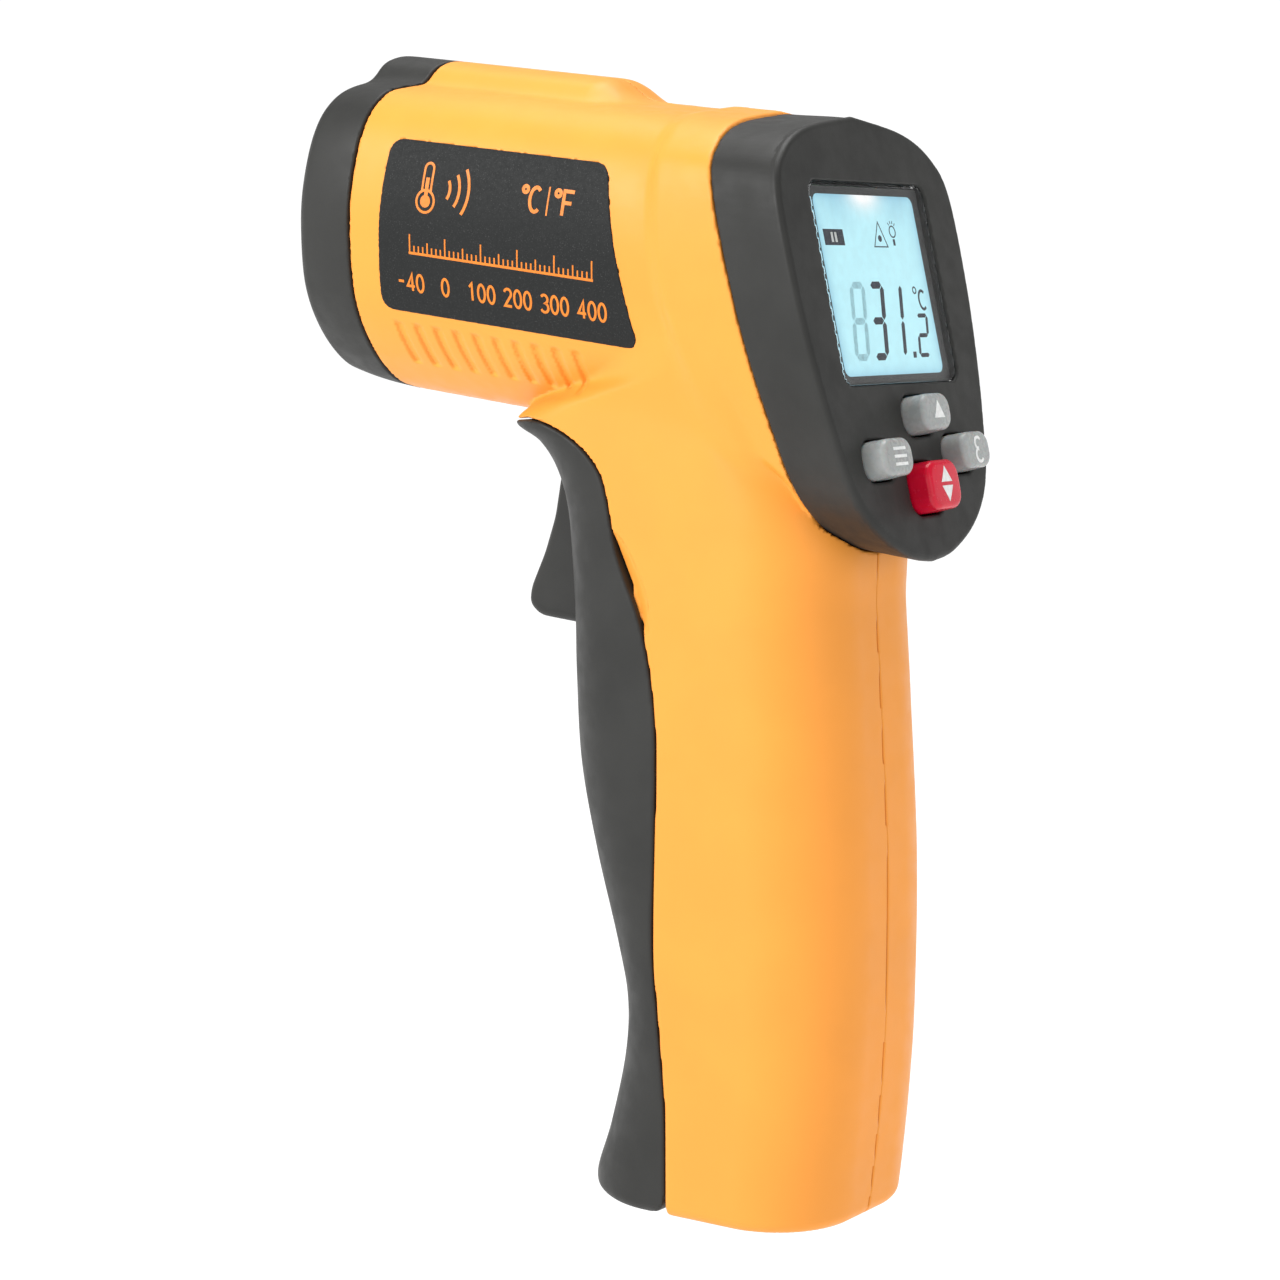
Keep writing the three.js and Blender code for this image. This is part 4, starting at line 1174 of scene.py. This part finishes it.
def segment_digit(lit, x, width, height, pen):
    """Seven-segment digit: a hexagon for each lit segment, leaning to the right."""
    shapes = []
    for name in lit:
        start, end = (np.array(corner) * (width, height) for corner in SEGMENTS[name])
        along = (end - start) / np.linalg.norm(end - start)
        side = np.array((-along[1], along[0])) * pen / 2
        gap = pen * 0.12
        a, b = start + along * gap, end - along * gap
        taper = along * pen / 2
        outline = np.array([a, a + taper - side, b - taper - side, b, b - taper + side, a + taper + side])
        outline[:, 0] += DIGIT_LEAN * outline[:, 1]
        shapes.append(blob(outline + (x, LCD_FOOT)))
    return shapes


def lcd_graphics():
    """Reading of 31.2 degrees, a pause badge, a beam warning triangle and a lamp."""
    shapes = [shape for digit in LCD_DIGITS for shape in segment_digit(*digit)]
    low, high = LCD_FOOT - 0.3, LCD_FOOT + 0.5
    shapes += [
        blob([(5.3, low), (6.1, low), (6.25, high), (5.45, high)]),
        stroke(ring(8.75, -12.6, 0.42, 1, 16), 0.2, True),
        stroke(arc(10.45, -13.9, 1.25, 50, 310, 20, 0.72), 0.36),
        blob([(-11.5, -6.7), (-6.7, -6.7), (-6.7, -4.6), (-11.5, -4.6)]),
        stroke([(0.7, -6.8), (4.1, -6.8), (2.5, -3.5)], 0.16, True),
        blob(ring(2.4, -5.7, 0.45, 1, 14)),
        stroke(ring(*LAMP, 0.75, 1, 18), 0.18, True),
        blob([(5.65, -6.6), (6.15, -6.6), (6.15, -5.75), (5.65, -5.75)]),
    ]
    for angle in (50, 75, 100, 125):
        ray = np.array((math.cos(math.radians(angle)), math.sin(math.radians(angle))))
        shapes.append(stroke([ray * 1.05 + LAMP, ray * 1.45 + LAMP], 0.12))
    return shapes


def badge_marks():
    marks = [[(x, -6.3), (x + 0.5, -6.3), (x + 0.5, -5), (x, -5)] for x in (-9.8, -8.9)]
    return [blob(mark) for mark in marks]


def lit_colour(y, up):
    """Colour of the backlight: pale blue, brightest under the lamp at the top, darker at the rim."""
    edge = -rounded_box(y, up + LIT_HALF[1], *LIT_HALF, LIT_CORNER)
    rim = np.exp(-np.maximum(edge, 0) / 0.9) * 0.8
    shade = sum(0.35 * np.exp(-((y - side) / 4) ** 2 - ((up + 1.5) / 3) ** 2) for side in (-7, 8))
    mix = np.clip(rim + shade, 0, 1)[:, None]
    colour = LIT_PALE * (1 - mix) + LIT_DUSK * mix
    hot = np.clip(1.3 * np.exp(-(y / 3.4) ** 2 - ((up - 0.3) / 2.0) ** 2), 0, 1)[:, None]
    return colour * (1 - hot) + hot


def lit_area():
    """Glowing part of the display, as a fine grid that carries its colours."""
    rows = np.linspace(-LIT_HALF[0], LIT_HALF[0], LIT_STEPS[0])
    columns = np.linspace(-2 * LIT_HALF[1], 0, LIT_STEPS[1])
    y, up = (grid.ravel() for grid in np.meshgrid(rows, columns, indexing="ij"))
    over = np.maximum(rounded_box(y, up + LIT_HALF[1], *LIT_HALF, LIT_CORNER), 0)
    y = y - np.sign(y) * over * 0.7
    up = up - np.sign(up + LIT_HALF[1]) * over * 0.7
    grid = [(np.stack([y, up], axis=1), [face[::-1] for face in grid_faces(*LIT_STEPS)])]
    foot, top = LCD_FACE - 0.1, LCD_FACE + 0.05
    piece = slab_piece("lcd_lit_area", grid, on_display, foot, top, "lcd_glow", "lcd_panel")
    glow = piece.data.color_attributes.new(name="glow", type="FLOAT_COLOR", domain="POINT")
    colours = np.tile(np.hstack([lit_colour(y, up), np.ones((len(y), 1))]), (2, 1))
    glow.data.foreach_set("color", colours.astype(np.float32).ravel())


def wedge(width, foot, tip):
    """Triangle in thin layers, so that it follows a crowned face."""
    heights = np.linspace(0, 1, 7)
    halves = width / 2 * np.maximum(1 - heights, 0.02)
    rise = foot + (tip - foot) * heights
    points = np.vstack([np.stack([side * halves, rise], axis=1) for side in (-1, 0, 1)])
    faces = grid_faces(3, len(heights))
    if tip > foot:
        faces = [face[::-1] for face in faces]
    return [(points, faces)]


def key_graphics():
    up_mark = wedge(2.6, -0.9, 1.4)
    list_mark = [stroke([(x, h) for x in np.linspace(-1.5, 1.5, 7)], 0.4) for h in (-1, 0, 1)]
    wave = np.vstack([arc(0.15, 0.75, 0.8, 35, 255, 12), arc(0.15, -0.8, 0.9, 105, 325, 12)])
    red_mark = wedge(2.7, 0.25, 2.3) + wedge(2.7, -0.25, -2.3)
    return {"key_up": up_mark, "key_left": list_mark, "key_right": [stroke(wave, 0.38)], "key_red": red_mark}


# ---- turned and bent parts
def band_faces(rows, sides, closed=False):
    """Quads between rings of points, one ring after another."""
    faces = []
    for i in range(rows if closed else rows - 1):
        a, b = i * sides, ((i + 1) % rows) * sides
        for k in range(sides):
            n = (k + 1) % sides
            faces.append((a + k, a + n, b + n, b + k))
    return faces


def revolve(node, profile, base, axis, across, sides=64):
    """Turned piece: (radius, station) pairs along the axis, starting and ending on it or closed."""
    base, axis, first = (np.array(values, float) for values in (base, axis, across))
    second = np.cross(axis, first)
    rings = [spot for spot in profile if spot[0] > 0]
    points = []
    for radius, station in rings:
        for angle in np.linspace(0, 2 * math.pi, sides, endpoint=False):
            outward = first * math.cos(angle) + second * math.sin(angle)
            points.append(base + axis * station + radius * outward)
    solid = profile[0][0] == 0
    faces = band_faces(len(rings), sides, closed=not solid)
    if solid:
        faces.append(tuple(range(sides - 1, -1, -1)))
        faces.append(tuple(range((len(rings) - 1) * sides, len(rings) * sides)))
    piece = make_object(f"{node}_turned", points, faces)
    piece.data.set_sharp_from_angle(angle=math.radians(32))
    finish_piece(piece, node)


def pin(node, radius, half_length, place):
    bevel = 0.25
    profile = [(0, -half_length), (radius - bevel, -half_length), (radius, bevel - half_length),
               (radius, half_length - bevel), (radius - bevel, half_length), (0, half_length)]
    revolve(node, profile, (place[0], 0, place[1]), (0, 1, 0), (0, 0, 1), sides=40)


def tube_along(node, line, radius, sides=14):
    """Wire of one thickness along a smooth line, closed at its ends."""
    line = np.asarray(line, float)
    along = np.gradient(line, axis=0)
    along /= np.linalg.norm(along, axis=1)[:, None]
    points, side = [], np.array((0.13, 0.99, 0.05))
    for spot, direction in zip(line, along):
        side = side - direction * (side @ direction)
        side /= np.linalg.norm(side)
        third = np.cross(direction, side)
        for angle in np.linspace(0, 2 * math.pi, sides, endpoint=False):
            points.append(spot + radius * (side * math.cos(angle) + third * math.sin(angle)))
    first_end = tuple(range(sides - 1, -1, -1))
    last_end = tuple(range((len(line) - 1) * sides, len(line) * sides))
    piece = make_object(f"{node}_wire", points, [first_end, *band_faces(len(line), sides), last_end])
    piece.data.set_sharp_from_angle(angle=math.radians(40))
    return finish_piece(piece, node)


# node, station of its front, height, profile
OPTICS = (
    ("lens_tube", LENS_FRONT, LENS_HEIGHT,
     [(8.8, 25.2), (8.8, 0.2), (8.6, 0), (7.9, 0), (7.7, 0.2), (7.7, 3.8), (6.4, 3.8), (6.4, 25.2)]),
    ("lens_retainer", LENS_FRONT, LENS_HEIGHT,
     [(6.3, 0.3), (6.5, 0.1), (7.2, 0.1), (7.4, 0.3), (7.4, 1.5), (6.3, 1.5)]),
    ("ir_lens", LENS_FRONT, LENS_HEIGHT,
     [*((radius, 1.8 + LENS_CURVE * radius * radius) for radius in range(8)),
      (7.3, 2.6), (7.3, 3.5), (0, 3.5)]),
    ("thermopile_sensor", LENS_FRONT, LENS_HEIGHT,
     [(0, 20.45), (1.5, 20.45), (1.6, 20.5), (1.7, 20.4), (3.8, 20.4), (4.1, 20.7), (4.1, 24), (4.6, 24),
      (4.6, 24.8), (0, 24.8)]),
    ("laser_module", NOSE_FRONT + 5.4, LASER_HEIGHT,
     [(0, 0.6), (0.7, 0.6), (1.1, 0), (2.8, 0), (3.1, 0.3), (3.1, 14), (0, 14)]),
    ("laser_window", NOSE_FRONT + 2.2, LASER_HEIGHT, [(0, 0), (2.4, 0), (2.6, 0.15), (2.6, 0.8), (0, 0.8)]),
)


def make_optics():
    axis = (math.cos(HEAD_PITCH), 0, -math.sin(HEAD_PITCH))
    for node, front, height, profile in OPTICS:
        x, z = from_head(front, height)
        revolve(node, profile, (x, 0, z), axis, (0, 1, 0))


def make_spring():
    start, end = SPRING_ENDS
    t = np.linspace(0, 1, 190)
    angle = t * SPRING_TURNS * 2 * math.pi
    across, height = SPRING_RADIUS * np.cos(angle), SPRING_HEIGHT + SPRING_RADIUS * np.sin(angle)
    line = np.stack([start + (end - start) * t, across, height], axis=1)
    spring = tube_along("trigger_spring", line, SPRING_WIRE)
    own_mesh(spring)


def make_leads():
    """Two wires from the battery snap up to the main board."""
    for node, side in (("battery_lead_plus", -1), ("battery_lead_minus", 1)):
        stops = [(2.75, side * 2.2, 56.1), (3.35, side * 2.4, 66), (3.2, 3 + side * 1.6, 82),
                 (-1 + side, 4 + side, 100), (-4 + side * 1.3, 7.8, 111), (-7 + side * 1.6, 9.2, 118)]
        tube_along(node, smooth_line(stops, 90), LEAD_RADIUS)


# ---- surroundings
def make_stage():
    corners = ((-1, -1), (1, -1), (1, 1), (-1, 1))
    points = [(FLOOR_HALF * x, FLOOR_HALF * y, FLOOR_HEIGHT) for x, y in corners]
    mesh = bpy.data.meshes.new("floor")
    mesh.from_pydata(points, [], [(0, 1, 2, 3)])
    floor = add_object("floor", mesh)
    look = Look("floor_look", (0.15, 0.15, 0.15), 0.9, specular=0.0)
    look.fix({"Emission Color": (1, 1, 1, 1), "Emission Strength": 1.0})
    floor.data.materials.append(look.material)


def make_lights():
    for name, place, size, power in LIGHTS:
        data = bpy.data.lights.new(name, "AREA")
        data.shape = "DISK"
        data.size = size
        data.energy = power
        light = add_object(name, data)
        light.location = place
        light.rotation_euler = (Vector(place) - Vector(LIGHT_AIM)).to_track_quat("Z", "Y").to_euler()


def make_world():
    """Studio walls: white near the floor, fading to light grey overhead."""
    world = bpy.data.worlds.new("studio")
    world.use_nodes = True
    tree = world.node_tree
    place = add_node(tree, "ShaderNodeTexCoord", {}).outputs["Generated"]
    height = add_node(tree, "ShaderNodeSeparateXYZ", {"Vector": place}).outputs["Z"]
    inputs = {"Value": height, **WORLD_RAMP}
    ramp = add_node(tree, "ShaderNodeMapRange", inputs, interpolation_type="SMOOTHSTEP")
    background = tree.nodes["Background"]
    background.inputs["Color"].default_value = (1, 1, 1, 1)
    tree.links.new(ramp.outputs["Result"], background.inputs["Strength"])
    bpy.context.scene.world = world

# ---- assembly
# node, field, size of the cells that its surface is worked out on
CASE_PIECES = (
    ("left_shell", left_shell_field, 0.49), ("right_shell", right_shell_field, 0.49),
    ("battery_door", door_field, 0.45), ("nose_cap", nose_field, 0.4), ("display_bezel", bezel_field, 0.4),
    ("trigger", trigger_field, 0.35), ("display_window", pane_field, 0.4),
    ("battery_9v", battery_field, 0.45),
)
# name, shapes, foot and top over the glass, look
LCD_MARKS = (
    ("lcd_digits", lcd_graphics(), 0.04, 0.08, "lcd_ink"),
    ("lcd_badge_marks", badge_marks(), 0.07, 0.1, "white_ink"),
    ("lcd_ghost_digit", segment_digit(*GHOST_DIGIT), 0.04, 0.06, "lcd_ghost"),
)


def build():
    for node, piece in frame["nodes"].items():
        for place in piece.material_slots:
            place.material = look_of(node)
    for node, field, step in CASE_PIECES:
        sculpt(node, field, step)
    for index in range(len(BOSSES)):
        sculpt(f"shell_screw_{index + 1}", screw_field(index), 0.16, margin=0.5)
    for node, side in (("label_left", -1), ("label_right", 1)):
        sculpt(node, label_field(side), 0.24)
        slab_piece(f"{node}_print", label_graphics(), on_label(side), -0.03, 0.03, "label_ink", node)
    lit_area()
    for name, shapes, foot, top, look in LCD_MARKS:
        slab_piece(name, shapes, on_display, LCD_FACE + foot, LCD_FACE + top, look, "lcd_panel")
    marks = key_graphics()
    for node, spec in KEYS.items():
        sculpt(node, key_field(spec), 0.2)
        slab_piece(f"{node}_mark", marks[node], on_key(spec), -0.08, 0.05, "white_ink", node)
    make_optics()
    make_spring()
    make_leads()
    for spec in PINS:
        pin(*spec)


make_world()
make_stage()
make_lights()
bpy.context.scene.view_settings.view_transform = "Standard"
build()
